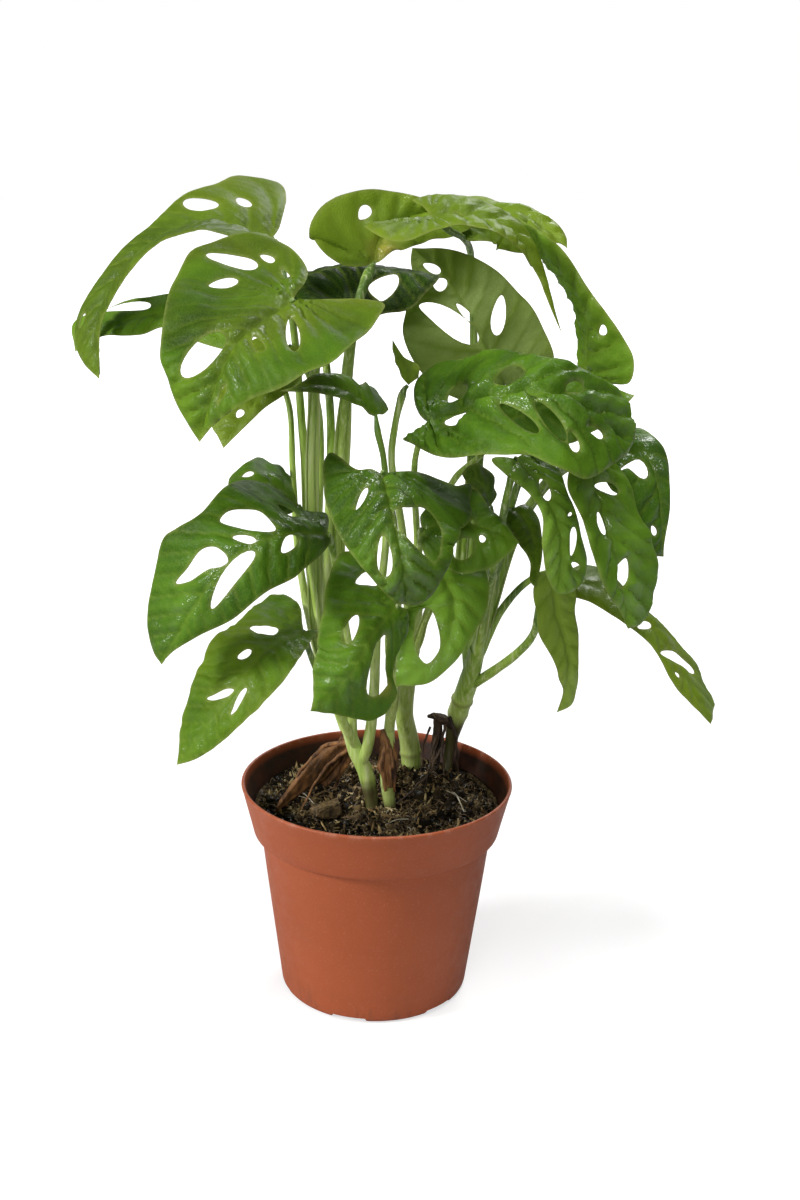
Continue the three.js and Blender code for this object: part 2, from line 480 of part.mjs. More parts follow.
// A shoot is a stem, listed down to its foot in the soil, and the leaf stalks that it carries. A
// stalk runs from the stem to its blade, and a list of radii runs the way that its points do.
const SHOOTS = [
  {
    name: "shoot_front",
    stem: [[-14, -2, 126], [-10, -4, 114], [-5, -5, 103], [-2, -5, 88], [-1, -5, 74]],
    stemRadii: [2.6, 3.4, 3.4, 2.8, 2.6],
    stalks: [
      {
        leaf: "leaf_far_left",
        points: [[-12, -3, 121], [-26, -2, 156], [-35, 5, 197], [-38, 10, 235], [-40, 9, 265],
          [-51, 8, 285]],
        radii: [2.4, 1.4, 1.1],
      },
      {
        leaf: "leaf_top_left_arch",
        points: [[-13, -2, 121], [-25, 2, 155], [-31, 7, 197], [-33, 12, 235], [-35, 10, 265],
          [-38, 10, 297], [-44, 26, 320]],
        radii: [2.6, 1.9, 1.3],
      },
      {
        leaf: "leaf_top_left_heart",
        points: [[-14, -5, 124], [-27, -6, 165], [-29, -6, 200], [-30, -6, 239], [-29, -8, 269],
          [-28, -14, 289], [-32, -28, 306]],
        radii: [2.8, 3, 1.7],
      },
      {
        leaf: "leaf_under_heart",
        points: [[-12, -1, 120], [-25, 2, 157], [-27, 4, 197], [-26, 4, 237], [-27, 2, 263],
          [-33, -1, 283]],
        radii: [2.4, 1.6, 1.3],
      },
      {
        leaf: "leaf_top_shaded",
        points: [[-12, -1, 118], [-15, 3, 128], [-22, 7, 156], [-23, 10, 196], [-22, 14, 235],
          [-23, 20, 264], [-28, 28, 297]],
        radii: [2.4, 2, 1.4],
      },
      {
        leaf: "leaf_top_middle",
        points: [[-11, -2, 117], [-14, 6, 127], [-18, 12, 154], [-19, 14, 195], [-18, 13, 235],
          [-16, 4, 267], [-13, -8, 297], [-9, -4, 314]],
        radii: [2.6, 3, 1.7],
      },
      {
        leaf: "leaf_left_small",
        points: [[-12, -3, 120], [-24, -8, 163], [-29, -10, 195], [-31, -12, 215]],
        radii: [2.2, 1.4, 1.1],
      },
      {
        leaf: "leaf_left_large",
        points: [[-11, -6, 120], [-12, -14, 159], [-17, -26, 193], [-19, -34, 210]],
        radii: [2.2, 1.5, 1.3],
      },
      {
        leaf: "leaf_lower_left",
        points: [[-10, -5, 116], [-17, -16, 136], [-25, -26, 156], [-29, -32, 169]],
        radii: [2.2, 1.4, 1.2],
      },
      {
        leaf: "leaf_small_cupped",
        points: [[-7, -5, 107], [-4, -8, 119], [-2, -12, 140], [-1, -18, 178], [2, -22, 214],
          [1, -24, 244], [-2, -25, 259]],
        radii: [2.6, 1.8, 1.1],
      },
    ],
  },
  {
    name: "shoot_stub",
    stem: [[5, -4, 125], [5, -4, 116], [4, -6, 103], [6, -6, 88], [8, -6, 74]],
    stemRadii: [2.3, 2.7, 2.8, 2.6, 2.4],
    stalks: [
      {
        leaf: "leaf_centre_heart",
        points: [[5, -4, 123], [7, -16, 164], [7, -30, 203], [4, -46, 232], [1, -56, 245]],
        radii: [2.4, 1.7, 1.3],
      },
      {
        leaf: "leaf_front_lower",
        points: [[5, -5, 124], [7, -20, 148], [4, -36, 169], [4, -50, 185]],
        radii: [2.2, 1.5, 1.3],
      },
    ],
  },
  {
    name: "shoot_middle",
    stem: [[14, 14, 159], [13, 20, 138], [12, 26, 119], [15, 32, 101], [17, 34, 77]],
    stemRadii: [3.2, 3.8, 4.2, 4.6, 4.6],
    stalks: [
      {
        leaf: "young_leaf_rolled",
        points: [[14, 14, 154], [12, 8, 179], [9, 4, 211], [4, 2, 240], [5, 1, 257], [8, 0, 271]],
        radii: [2.2, 1.6, 1.4],
      },
      {
        leaf: "leaf_right_large",
        points: [[15, 14, 155], [15, 2, 181], [15, -12, 211], [13, -22, 239], [14, -32, 255]],
        radii: [2.2, 1.4, 1.2],
      },
      {
        leaf: "leaf_right_behind",
        points: [[15, 16, 153], [18, 8, 184], [24, 4, 218], [31, 6, 234], [41, -2, 246]],
        radii: [2.2, 1.5, 1.2],
      },
      {
        leaf: "leaf_centre_pointed",
        points: [[15, 14, 154], [16, 4, 180], [16, -16, 206]],
        radii: [2.2, 1.4, 1.1],
      },
      {
        leaf: "leaf_front_curled",
        points: [[15, 14, 149], [18, 0, 168], [22, -22, 190]],
        radii: [2.2, 1.5, 1.2],
      },
    ],
  },
  {
    name: "shoot_right",
    stem: [[44, 22, 152], [41, 28, 135], [37, 35, 117], [34, 38, 99], [32, 34, 81]],
    stemRadii: [3.6, 4.6, 5, 4.6, 4.2],
    stalks: [
      {
        leaf: "leaf_right_narrow",
        points: [[44, 22, 149], [46, 4, 181], [48, -18, 209], [50, -30, 233]],
        radii: [2.6, 2, 1.4],
      },
      {
        leaf: "leaf_right_hanging",
        points: [[45, 22, 152], [53, 20, 185], [61, 16, 214], [70, 2, 235], [77, -18, 246]],
        radii: [2.6, 2, 1.3],
      },
      {
        leaf: "leaf_right_curled",
        points: [[45, 24, 150], [52, 26, 179], [61, 26, 209], [74, 20, 231], [86, 14, 241]],
        radii: [2.6, 2, 1.3],
      },
      {
        leaf: "leaf_lower_right",
        points: [[45, 24, 149], [53, 24, 168], [63, 20, 183], [72, 12, 191]],
        radii: [2.4, 1.6, 1.3],
      },
      {
        leaf: "leaf_hanging_pale",
        points: [[39, 30, 130], [49, 22, 140], [61, 12, 154], [67, 2, 167], [68, -8, 184]],
        radii: [2.4, 1.8, 1.3],
      },
      {
        leaf: "leaf_shaded_lower",
        points: [[44, 22, 149], [49, 18, 177], [52, 8, 204], [53, -2, 218]],
        radii: [2.2, 1.4, 1.1],
      },
      {
        leaf: "leaf_shaded_small",
        points: [[43, 22, 149], [45, 18, 176], [46, 8, 204], [46, -2, 219]],
        radii: [2, 1.3, 1],
      },
      {
        leaf: "leaf_top_right_drop",
        points: [[45, 26, 150], [51, 28, 188], [60, 24, 230], [73, 16, 262]],
        radii: [2.6, 1.8, 1.4],
      },
      {
        leaf: "leaf_middle_back",
        points: [[43, 26, 146], [40, 32, 186], [43, 46, 224], [45, 54, 250], [48, 47, 262]],
        radii: [2.6, 2, 1.6],
      },
      {
        leaf: "leaf_top_right_arch",
        points: [[41, 28, 143], [37, 40, 184], [40, 48, 224], [41, 50, 253], [39, 50, 291],
          [37, 47, 318], [36, 42, 326], [32, 26, 332], [26, 7, 336]],
        radii: [2.8, 2.8, 1.5, 1.2],
      },
      {
        leaf: "leaf_top_back",
        points: [[41, 30, 140], [36, 44, 183], [40, 54, 222], [41, 56, 252], [39, 56, 290],
          [37, 50, 320], [33, 42, 333]],
        radii: [2.6, 2, 1.3, 1.2],
      },
    ],
  },
];

// Dry sheath on the short shoot, a dry root over the soil, and aerial roots between the back shoots.
const ROOTS = [
  {
    name: "dry_sheath",
    look: DRY_SHEATH,
    strands: [
      { points: [[1, -6, 124], [5, -6, 114], [4, -8, 104], [6, -9, 87]], radii: [1.4, 3.6, 3.2, 2.4] },
    ],
  },
  {
    name: "dry_root",
    look: DRY_SHEATH,
    strands: [
      { points: [[-10, -2, 116], [-20, 8, 113], [-30, 6, 103], [-44, -8, 85.2]], radii: [1.6, 1.6, 1] },
    ],
  },
  {
    name: "aerial_roots",
    look: ROOT,
    strands: [
      { points: [[23, 25, 118], [29, 31, 114], [27, 33, 104], [28, 31, 84]], radii: [1.1, 1.3, 1] },
      { points: [[26, 32, 104], [20, 14, 100], [8, -14, 84]], radii: [1, 0.8, 0.8] },
    ],
  },
];

// ---------------------------------------------------------------- solids

function toSolid(geometry) {
  const bare = geometry.clone();
  bare.deleteAttribute("normal");
  bare.deleteAttribute("uv");
  const merged = mergeVertices(bare, 1e-4);
  return new wasm.Manifold(
    new wasm.Mesh({
      numProp: 3,
      vertProperties: new Float32Array(merged.attributes.position.array),
      triVerts: new Uint32Array(merged.index.array),
    }),
  );
}

function toGeometry(solid) {
  const mesh = solid.getMesh();
  const geometry = new THREE.BufferGeometry();
  geometry.setAttribute("position", new THREE.BufferAttribute(mesh.vertProperties, 3));
  geometry.setIndex(new THREE.BufferAttribute(mesh.triVerts, 1));
  geometry.computeVertexNormals();
  return geometry;
}

// The largest body of a solid: drops the loose scraps that a cut can leave.
function mainBody(solid) {
  const bodies = solid.decompose();
  return bodies.reduce((a, b) => (a.volume() > b.volume() ? a : b));
}

const joined = (solids) => solids.reduce((a, b) => a.add(b));

const vector = ([x, y, z]) => new THREE.Vector3(x, y, z);

// A closed round tube along points, its radius running through the given list.
function taperedTube(points, radii, sides = STALK_SIDES, steps = STALK_STEPS) {
  const curve = new THREE.CatmullRomCurve3(points.map(vector), false, "centripetal");
  const corners = [...Array(sides)].map((_, i) => {
    const angle = (2 * Math.PI * i) / sides;
    return new THREE.Vector2(Math.cos(angle), Math.sin(angle));
  });
  const tube = new THREE.ExtrudeGeometry(new THREE.Shape(corners), {
    steps,
    bevelEnabled: false,
    extrudePath: curve,
  });
  const centres = curve.getSpacedPoints(steps);
  const position = tube.getAttribute("position");
  const point = new THREE.Vector3();
  for (let i = 0; i < position.count; i++) {
    point.fromBufferAttribute(position, i);
    const away = centres.map((centre) => centre.distanceToSquared(point));
    const ring = away.indexOf(Math.min(...away));
    const place = (ring / steps) * (radii.length - 1);
    const from = Math.min(Math.floor(place), radii.length - 2);
    const radius = THREE.MathUtils.lerp(radii[from], radii[from + 1], place - from);
    point.sub(centres[ring]).multiplyScalar(radius).add(centres[ring]);
    position.setXYZ(i, point.x, point.y, point.z);
  }
  return tube;
}

// ---------------------------------------------------------------- leaf blades

// A blade is drawn flat, x along its midrib from the stalk and y across it, right side positive.
// Its flat points are then carried onto the curved, folded form that the midrib gives.
class Blade {
  constructor(leaf) {
    this.leaf = leaf;
    this.sampleRib();
    this.foldAlongRib();
  }

  sampleRib() {
    const curve = new THREE.CatmullRomCurve3(this.leaf.rib.map(vector), false, "catmullrom", 0.5);
    this.points = [];
    for (let i = 0; i <= RIB_SAMPLES; i++) {
      this.points.push(curve.getPoint(i / RIB_SAMPLES));
    }
    this.along = [0];
    for (let i = 1; i <= RIB_SAMPLES; i++) {
      this.along.push(this.along[i - 1] + this.points[i].distanceTo(this.points[i - 1]));
    }
    this.length = this.along[RIB_SAMPLES];
    this.tangents = this.points.map((_, i) => {
      const before = this.points[Math.max(i - 1, 0)];
      const after = this.points[Math.min(i + 1, RIB_SAMPLES)];
      return after.clone().sub(before).normalize();
    });
  }

  // The direction across the blade and its fold come from one point on each half.
  foldAlongRib() {
    const { left, right, at } = this.leaf;
    const station = at * this.length;
    const centre = this.between(this.points, station);
    const tangent = this.between(this.tangents, station).normalize();
    const toLeft = vector(left).sub(centre);
    const toRight = vector(right).sub(centre);
    toLeft.addScaledVector(tangent, -toLeft.dot(tangent)).normalize();
    toRight.addScaledVector(tangent, -toRight.dot(tangent)).normalize();
    const across = toRight.clone().sub(toLeft).normalize();
    const up = across.clone().cross(tangent);
    this.fold = Math.atan2(toRight.dot(up), toRight.dot(across));
    const start = THREE.MathUtils.clamp(
      this.along.findIndex((s) => s >= station), 1, RIB_SAMPLES - 1);
    this.across = [];
    this.across[start] = this.squareTo(across, start);
    for (let i = start + 1; i <= RIB_SAMPLES; i++) {
      this.across[i] = this.squareTo(this.across[i - 1], i);
    }
    for (let i = start - 1; i >= 0; i--) {
      this.across[i] = this.squareTo(this.across[i + 1], i);
    }
  }

  squareTo(direction, i) {
    const tangent = this.tangents[i];
    return direction.clone().addScaledVector(tangent, -direction.dot(tangent)).normalize();
  }

  between(list, s) {
    const clamped = THREE.MathUtils.clamp(s, 0, this.length);
    let i = this.along.findIndex((a) => a > clamped) - 1;
    if (i < 0) {
      i = RIB_SAMPLES - 1;
    }
    const share = (clamped - this.along[i]) / (this.along[i + 1] - this.along[i]);
    return list[i].clone().lerp(list[i + 1], share);
  }

  place(x, y) {
    const beyond = Math.min(x, 0) + Math.max(x - this.length, 0);
    const tangent = this.between(this.tangents, x).normalize();
    const point = this.between(this.points, x).addScaledVector(tangent, beyond);
    const across = this.between(this.across, x);
    across.addScaledVector(tangent, -across.dot(tangent)).normalize();
    const up = across.clone().cross(tangent);
    const side = y < 0 ? -1 : 1;
    const out = Math.abs(y);
    const outward = across.clone().multiplyScalar(side * Math.cos(this.fold));
    outward.addScaledVector(up, Math.sin(this.fold));
    const normal = up.clone().multiplyScalar(Math.cos(this.fold));
    normal.addScaledVector(across, -side * Math.sin(this.fold));
    const reach = FORM_REACH * this.length;
    const bend = (this.leaf.curl ?? CURL) / reach;
    point.addScaledVector(outward, Math.sin(bend * out) / bend);
    point.addScaledVector(normal, (Math.cos(bend * out) - 1) / bend);
    const turn = (WAVES * x) / this.length + WAVE_PHASE * side;
    const ripple = WAVE * Math.min(out / reach, 1) ** 2 * Math.sin(2 * Math.PI * turn);
    return point.addScaledVector(normal, ripple);
  }

  // The flat outline: right margin from the stalk to the tip, then the left margin back.
  outline() {
    const { leftEdge, rightEdge } = this.leaf;
    const left = leftEdge.map(([u, v]) => [u, -v]).reverse();
    return this.sized([[0, 0], ...rightEdge, [1, 0], ...left]);
  }

  sized(loop) {
    return loop.map(([u, v]) => [u * this.length, v * this.length]);
  }

  // Slots are pointed ovals between two ends; openings are drawn point by point.
  holes() {
    const { slots = [], openings = [] } = this.leaf;
    const rounds = slots.map(([u1, v1, u2, v2, width]) => {
      const middle = [(u1 + u2) / 2, (v1 + v2) / 2];
      const half = [(u2 - u1) / 2, (v2 - v1) / 2];
      const reach = Math.hypot(...half);
      const side = [(-half[1] / reach) * (width / 2), (half[0] / reach) * (width / 2)];
      return [...Array(SLOT_CORNERS)].map((_, i) => {
        const angle = (2 * Math.PI * i) / SLOT_CORNERS;
        const along = Math.cos(angle);
        const out = Math.sin(angle) * (1 + SLOT_EGG * along);
        return [0, 1].map((k) => middle[k] + half[k] * along + side[k] * out);
      });
    });
    return [...rounds, ...openings].map((loop) => this.sized(loop));
  }
}

// A closed loop moved outwards by a distance.
function grown(loop, distance) {
  const turn = area(loop) > 0 ? 1 : -1;
  return loop.map((point, i) => {
    const before = loop[(i + loop.length - 1) % loop.length];
    const after = loop[(i + 1) % loop.length];
    const dx = after[0] - before[0];
    const dy = after[1] - before[1];
    const size = Math.hypot(dx, dy);
    return [point[0] + (turn * dy * distance) / size, point[1] - (turn * dx * distance) / size];
  });
}

function area(loop) {
  return loop.reduce((sum, [x, y], i) => {
    const [nextX, nextY] = loop[(i + 1) % loop.length];
    return sum + (x * nextY - nextX * y) / 2;
  }, 0);
}

function inside([x, y], loop) {
  let within = false;
  loop.forEach(([x1, y1], i) => {
    const [x2, y2] = loop[(i + 1) % loop.length];
    if (y1 > y !== y2 > y && x < ((x2 - x1) * (y - y1)) / (y2 - y1) + x1) {
      within = !within;
    }
  });
  return within;
}

function distanceToLoop([x, y], loop) {
  return Math.min(...loop.map(([x1, y1], i) => {
    const [x2, y2] = loop[(i + 1) % loop.length];
    const length2 = (x2 - x1) ** 2 + (y2 - y1) ** 2;
    const share = ((x - x1) * (x2 - x1) + (y - y1) * (y2 - y1)) / length2;
    const t = THREE.MathUtils.clamp(share, 0, 1);
    return Math.hypot(x - x1 - t * (x2 - x1), y - y1 - t * (y2 - y1));
  }));
}

// Delaunay triangles of flat points, by adding one point at a time.
function delaunay(points) {
  const far = 1e4;
  const all = [...points, [-far, -far], [far, -far], [0, far]];
  const n = points.length;
  let triangles = [circled(all, n, n + 1, n + 2)];
  for (let p = 0; p < n; p++) {
    const [x, y] = points[p];
    const open = new Map();
    triangles = triangles.filter((triangle) => {
      const hit = (x - triangle.x) ** 2 + (y - triangle.y) ** 2 < triangle.r2 * (1 + 1e-12);
      if (hit) {
        const { a, b, c } = triangle;
        [[a, b], [b, c], [c, a]].forEach(([from, to]) => {
          const back = `${to},${from}`;
          if (open.has(back)) {
            open.delete(back);
          } else {
            open.set(`${from},${to}`, [from, to]);
          }
        });
      }
      return !hit;
    });
    open.forEach(([from, to]) => triangles.push(circled(all, from, to, p)));
  }
  return triangles.filter(({ a, b, c }) => Math.max(a, b, c) < n).map(({ a, b, c }) => [a, b, c]);
}

// A triangle, counter-clockwise, with its circumscribed circle.
function circled(points, a, b, c) {
  const [ax, ay] = points[a];
  const bx = points[b][0] - ax;
  const by = points[b][1] - ay;
  const cx = points[c][0] - ax;
  const cy = points[c][1] - ay;
  const twice = 2 * (bx * cy - by * cx);
  const x = (cy * (bx * bx + by * by) - by * (cx * cx + cy * cy)) / twice;
  const y = (bx * (cx * cx + cy * cy) - cx * (bx * bx + by * by)) / twice;
  const turned = twice < 0 ? [a, c, b] : [a, b, c];
  return { a: turned[0], b: turned[1], c: turned[2], x: x + ax, y: y + ay, r2: x * x + y * y };
}

// Flat triangles of a blade: its outline, its holes and evenly spread points between them.
// An edge of the outline or of a hole that the triangles miss is halved until all are met.
// `grow` then widens the blade at its margin and closes its holes by as much.
function flatTriangles(blade, grow) {
  let loops = [blade.outline(), ...blade.holes()];
  const [edge, ...holes] = loops;
  const isInside = (point) => inside(point, edge) && !holes.some((hole) => inside(point, hole));
  const keeps = (point, room) => loops.every((loop) => distanceToLoop(point, loop) > room);
  const fill = [];
  const rows = Math.ceil(blade.length / ROW_SPACING) + 1;
  for (let j = -rows; j <= rows; j++) {
    for (let i = -rows; i <= 2 * rows; i++) {
      const point = [(i + (j % 2 ? 0.5 : 0)) * BLADE_SPACING, j * ROW_SPACING];
      if (isInside(point) && keeps(point, j === 0 ? RIB_ROOM : EDGE_ROOM)) {
        fill.push(point);
      }
    }
  }
  for (;;) {
    const points = [...loops.flat(), ...fill];
    const triangles = delaunay(points);
    const edges = new Set(triangles.flatMap(([a, b, c]) => [`${a},${b}`, `${b},${c}`, `${c},${a}`]));
    let base = 0;
    let missed = false;
    loops = loops.map((loop) => {
      const whole = loop.flatMap((point, i) => {
        const a = base + i;
        const b = base + ((i + 1) % loop.length);
        if (edges.has(`${a},${b}`) || edges.has(`${b},${a}`)) {
          return [point];
        }
        missed = true;
        const next = loop[(i + 1) % loop.length];
        return [point, [(point[0] + next[0]) / 2, (point[1] + next[1]) / 2]];
      });
      base += loop.length;
      return whole;
    });
    if (!missed) {
      const kept = triangles.filter((corners) => {
        const [a, b, c] = corners.map((i) => points[i]);
        return isInside([(a[0] + b[0] + c[0]) / 3, (a[1] + b[1] + c[1]) / 3]);
      });
      const moved = loops.flatMap((loop, i) => grown(loop, i ? -grow : grow));
      return { points: [...moved, ...fill], triangles: kept };
    }
  }
}

// A blade as a closed solid: the same triangles on both faces, and a wall along every edge.
function bladeGeometry(leaf, thickness, grow = 0) {
  const blade = new Blade(leaf);
  const { points, triangles } = flatTriangles(blade, grow);
  const middle = points.map(([x, y]) => blade.place(x, y));
  const normals = middle.map(() => new THREE.Vector3());
  triangles.forEach((corners) => {
    const [a, b, c] = corners.map((i) => middle[i]);
    const face = b.clone().sub(a).cross(c.clone().sub(a));
    corners.forEach((i) => normals[i].add(face));
  });
  const positions = [];
  [1, -1].forEach((side) =>
    middle.forEach((point, i) => {
      const shifted = point.clone().addScaledVector(normals[i].normalize(), (side * thickness) / 2);
      positions.push(...shifted.toArray());
    }));
  const n = points.length;
  const index = triangles.flatMap(([a, b, c]) => [a, b, c, n + a, n + c, n + b]);
  const edges = new Map();
  triangles.forEach(([a, b, c]) =>
    [[a, b], [b, c], [c, a]].forEach(([from, to]) => edges.set(`${from},${to}`, [from, to])));
  edges.forEach(([from, to]) => {
    if (!edges.has(`${to},${from}`)) {
      index.push(to, from, n + from, to, n + from, n + to);
    }
  });
  const geometry = new THREE.BufferGeometry();
  geometry.setAttribute("position", new THREE.Float32BufferAttribute(positions, 3));
  geometry.setIndex(index);
  return geometry;
}

// ---------------------------------------------------------------- pot

const lathe = (profile, segments) => {
  const points = profile.map(([radius, z]) => new THREE.Vector2(radius, z));
  return new THREE.LatheGeometry(points, segments).rotateX(Math.PI / 2);
};

const LEDGE_Z = POT_HEIGHT - RIM_BAND;
const FLOOR_TOP = FLOOR_LIFT + WALL;

// The wall's inside, from the floor to the rim.
const INNER_PROFILE = [
  [FOOT_RING_RADIUS - EDGE_ROUND, FLOOR_TOP],
  [BODY_FOOT_RADIUS - WALL, FLOOR_TOP + WALL],
  [BODY_TOP_RADIUS - WALL, LEDGE_Z + EDGE_ROUND],
  [LEDGE_RADIUS - WALL, LEDGE_Z + WALL],
  [RIM_RADIUS - WALL, POT_HEIGHT - EDGE_ROUND],
];

const OUTER_PROFILE = [
  [0, 0],
  [CENTRE_PAD_RADIUS, 0],
  [CENTRE_PAD_RADIUS + PAD_DRAFT, FLOOR_LIFT],
  [FOOT_RING_RADIUS - FOOT_RING_WIDTH - PAD_DRAFT, FLOOR_LIFT],
  [FOOT_RING_RADIUS - FOOT_RING_WIDTH, 0],
  [FOOT_RING_RADIUS, 0],
  [BODY_FOOT_RADIUS - EDGE_ROUND, 0.3 * FOOT_ROUND],
  [BODY_FOOT_RADIUS, FOOT_ROUND],
  [BODY_TOP_RADIUS, LEDGE_Z - EDGE_ROUND],
  [LEDGE_RADIUS - 2 * EDGE_ROUND, LEDGE_Z - EDGE_ROUND],
  [LEDGE_RADIUS, LEDGE_Z + EDGE_ROUND],
  [RIM_RADIUS, POT_HEIGHT - EDGE_ROUND],
  [RIM_RADIUS - EDGE_ROUND, POT_HEIGHT],
  [RIM_RADIUS - WALL + EDGE_ROUND, POT_HEIGHT],
];

function potSolid() {
  const profile = [...OUTER_PROFILE, ...[...INNER_PROFILE].reverse(), [0, FLOOR_TOP]];
  const cuts = [];
  for (let i = 0; i < NOTCH_COUNT; i++) {
    const notch = new THREE.BoxGeometry(NOTCH_WIDTH, NOTCH_REACH, 2 * NOTCH_HEIGHT);
    notch.translate(0, -FOOT_RING_RADIUS, 0).rotateZ(NOTCH_TURN + (2 * Math.PI * i) / NOTCH_COUNT);
    cuts.push(toSolid(notch));
  }
  for (let i = 0; i < DRAIN_HOLES; i++) {
    const hole = new THREE.CylinderGeometry(DRAIN_RADIUS, DRAIN_RADIUS, 4 * FLOOR_TOP, DRAIN_SIDES);
    hole.rotateX(Math.PI / 2).translate(DRAIN_CIRCLE, 0, 0).rotateZ((2 * Math.PI * i) / DRAIN_HOLES);
    cuts.push(toSolid(hole));
  }
  return toSolid(lathe(profile, POT_SEGMENTS)).subtract(joined(cuts));
}

// ---------------------------------------------------------------- soil

function soilHeight(x, y) {
  const away = Math.hypot(x - MOUND_CENTRE[0], y - MOUND_CENTRE[1]) / MOUND_SPREAD;
  const edge = 1 - (Math.hypot(x, y) / SOIL_EDGE_RADIUS) ** 4;
  return SOIL_EDGE_Z + SOIL_MOUND * Math.exp(-away * away) * Math.max(edge, 0);
}

// The soil follows the pot's inside up to its edge, and its top rises where the shoots stand.
function soilSolid() {
  const side = INNER_PROFILE.slice(0, -1).map(([radius, z]) => [radius - GAP, z + GAP]);
  const top = [...Array(SOIL_RINGS)].map((_, i) => [
    SOIL_EDGE_RADIUS * (1 - i / SOIL_RINGS), SOIL_EDGE_Z]);
  const profile = [[0, FLOOR_TOP + GAP], ...side, ...top, [0, SOIL_EDGE_Z]];
  const body = lathe(profile, SOIL_SEGMENTS);
  const position = body.getAttribute("position");
  for (let i = 0; i < position.count; i++) {
    if (position.getZ(i) > SOIL_EDGE_Z - GAP) {
      position.setZ(i, soilHeight(position.getX(i), position.getY(i)));
    }
  }
  return toSolid(body);
}

// ---------------------------------------------------------------- shoots, sheath and roots

const leafNamed = (name) => LEAVES.find((leaf) => leaf.name === name);
const stalkPoints = ({ leaf, points }) => [...points, leafNamed(leaf).rib[0]];
const roomAround = (leaf) => toSolid(bladeGeometry(leaf, BLADE + 2 * BLADE_ROOM, BLADE_ROOM));

// A point moved away from its neighbour.
function movedFrom(neighbour, point, distance) {
  const away = vector(point).sub(vector(neighbour)).setLength(distance);
  return away.add(vector(point)).toArray();
}

// A tube with some room round it and beyond both its ends.
function roomyTube(points, radii, room, ...fineness) {
  const first = movedFrom(points[1], points[0], room);
  const last = movedFrom(points.at(-2), points.at(-1), room);
  const course = [first, ...points.slice(1, -1), last];
  return toSolid(taperedTube(course, radii.map((radius) => radius + room), ...fineness));
}

// A shoot's stem and stalks, fused; `room` widens them all.
function shootBody({ stem, stemRadii, stalks }, room) {
  const tubes = stalks.map((stalk) => roomyTube(stalkPoints(stalk), stalk.radii, room));
  return joined([roomyTube(stem, stemRadii, room, STEM_SIDES), ...tubes]);
}

// A shoot is cut back from the blades that it carries, so each one stays a piece of its own.
function shootSolid(shoot) {
  const blades = shoot.stalks.map(({ leaf }) => roomAround(leafNamed(leaf)));
  return mainBody(shootBody(shoot, 0).subtract(joined(blades)));
}

const strandBody = ({ strands }, room) => joined(strands.map(({ points, radii }) =>
  roomyTube(points, radii, room, ROOT_SIDES, ROOT_STEPS)));

// ---------------------------------------------------------------- the plant

const plant = new THREE.Group();
plant.name = "potted_swiss_cheese_vine";

function addMesh(parent, name, geometry, look) {
  const mesh = new THREE.Mesh(geometry, look.clone());
  mesh.name = name;
  parent.add(mesh);
  return mesh;
}

const potted = new THREE.Group();
potted.name = "pot_and_soil";
plant.add(potted);
addMesh(potted, "pot", toGeometry(potSolid()), POT_PLASTIC);

const shootRoom = joined(SHOOTS.map((shoot) => shootBody(shoot, TUBE_ROOM)));
const rootRoom = joined(ROOTS.map((root) => strandBody(root, TUBE_ROOM)));
const soil = mainBody(soilSolid().subtract(shootRoom).subtract(rootRoom));
addMesh(potted, "soil", toGeometry(soil), SOIL);

const chip = new THREE.DodecahedronGeometry(1).scale(...CHIP_SIZE).rotateZ(CHIP_TURN);
const chipMesh = addMesh(potted, "bark_chip", toGeometry(toSolid(chip)), BARK);
chipMesh.position.set(...CHIP_PLACE);

const growth = new THREE.Group();
growth.name = "growth";
plant.add(growth);
SHOOTS.forEach((shoot) =>
  addMesh(growth, shoot.name, toGeometry(shootSolid(shoot)), STALK_GREEN));
ROOTS.forEach((root) =>
  addMesh(growth, root.name, toGeometry(mainBody(strandBody(root, 0).subtract(shootRoom))), root.look));

const foliage = new THREE.Group();
foliage.name = "foliage";
plant.add(foliage);
LEAVES.forEach((leaf) =>
  addMesh(foliage, leaf.name, bladeGeometry(leaf, BLADE), leaf.tone));

export default plant;
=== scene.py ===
"""Visual model of a young Swiss cheese vine in a nursery pot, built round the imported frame."""

import math

import bmesh
import bpy
import numpy as np
from mathutils import Matrix, Vector, geometry, noise


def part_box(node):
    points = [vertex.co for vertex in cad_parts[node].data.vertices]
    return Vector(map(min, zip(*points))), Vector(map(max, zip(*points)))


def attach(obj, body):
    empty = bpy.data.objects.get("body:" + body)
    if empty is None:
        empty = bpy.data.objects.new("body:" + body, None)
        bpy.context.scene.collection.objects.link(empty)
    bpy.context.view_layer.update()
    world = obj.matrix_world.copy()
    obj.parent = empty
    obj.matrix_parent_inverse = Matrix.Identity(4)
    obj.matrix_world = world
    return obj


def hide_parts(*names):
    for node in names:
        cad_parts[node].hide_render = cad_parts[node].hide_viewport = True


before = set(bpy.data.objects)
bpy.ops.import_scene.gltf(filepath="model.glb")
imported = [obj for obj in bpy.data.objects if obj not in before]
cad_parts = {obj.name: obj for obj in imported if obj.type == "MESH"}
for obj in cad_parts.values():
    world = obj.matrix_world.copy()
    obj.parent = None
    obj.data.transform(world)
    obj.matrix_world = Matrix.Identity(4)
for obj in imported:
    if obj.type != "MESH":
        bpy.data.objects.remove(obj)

bl_info = {
    "name": "Potted Swiss Cheese Vine",
    "version": (1, 0, 0),
    "blender": (4, 5, 0),
    "location": "View3D > Sidebar > Vine",
    "description": "Builds a young Swiss cheese vine in a nursery pot from its leaf and stalk tables",
    "category": "Object",
}

MM = 0.001

# ---------------------------------------------------------------- tables, in millimetres

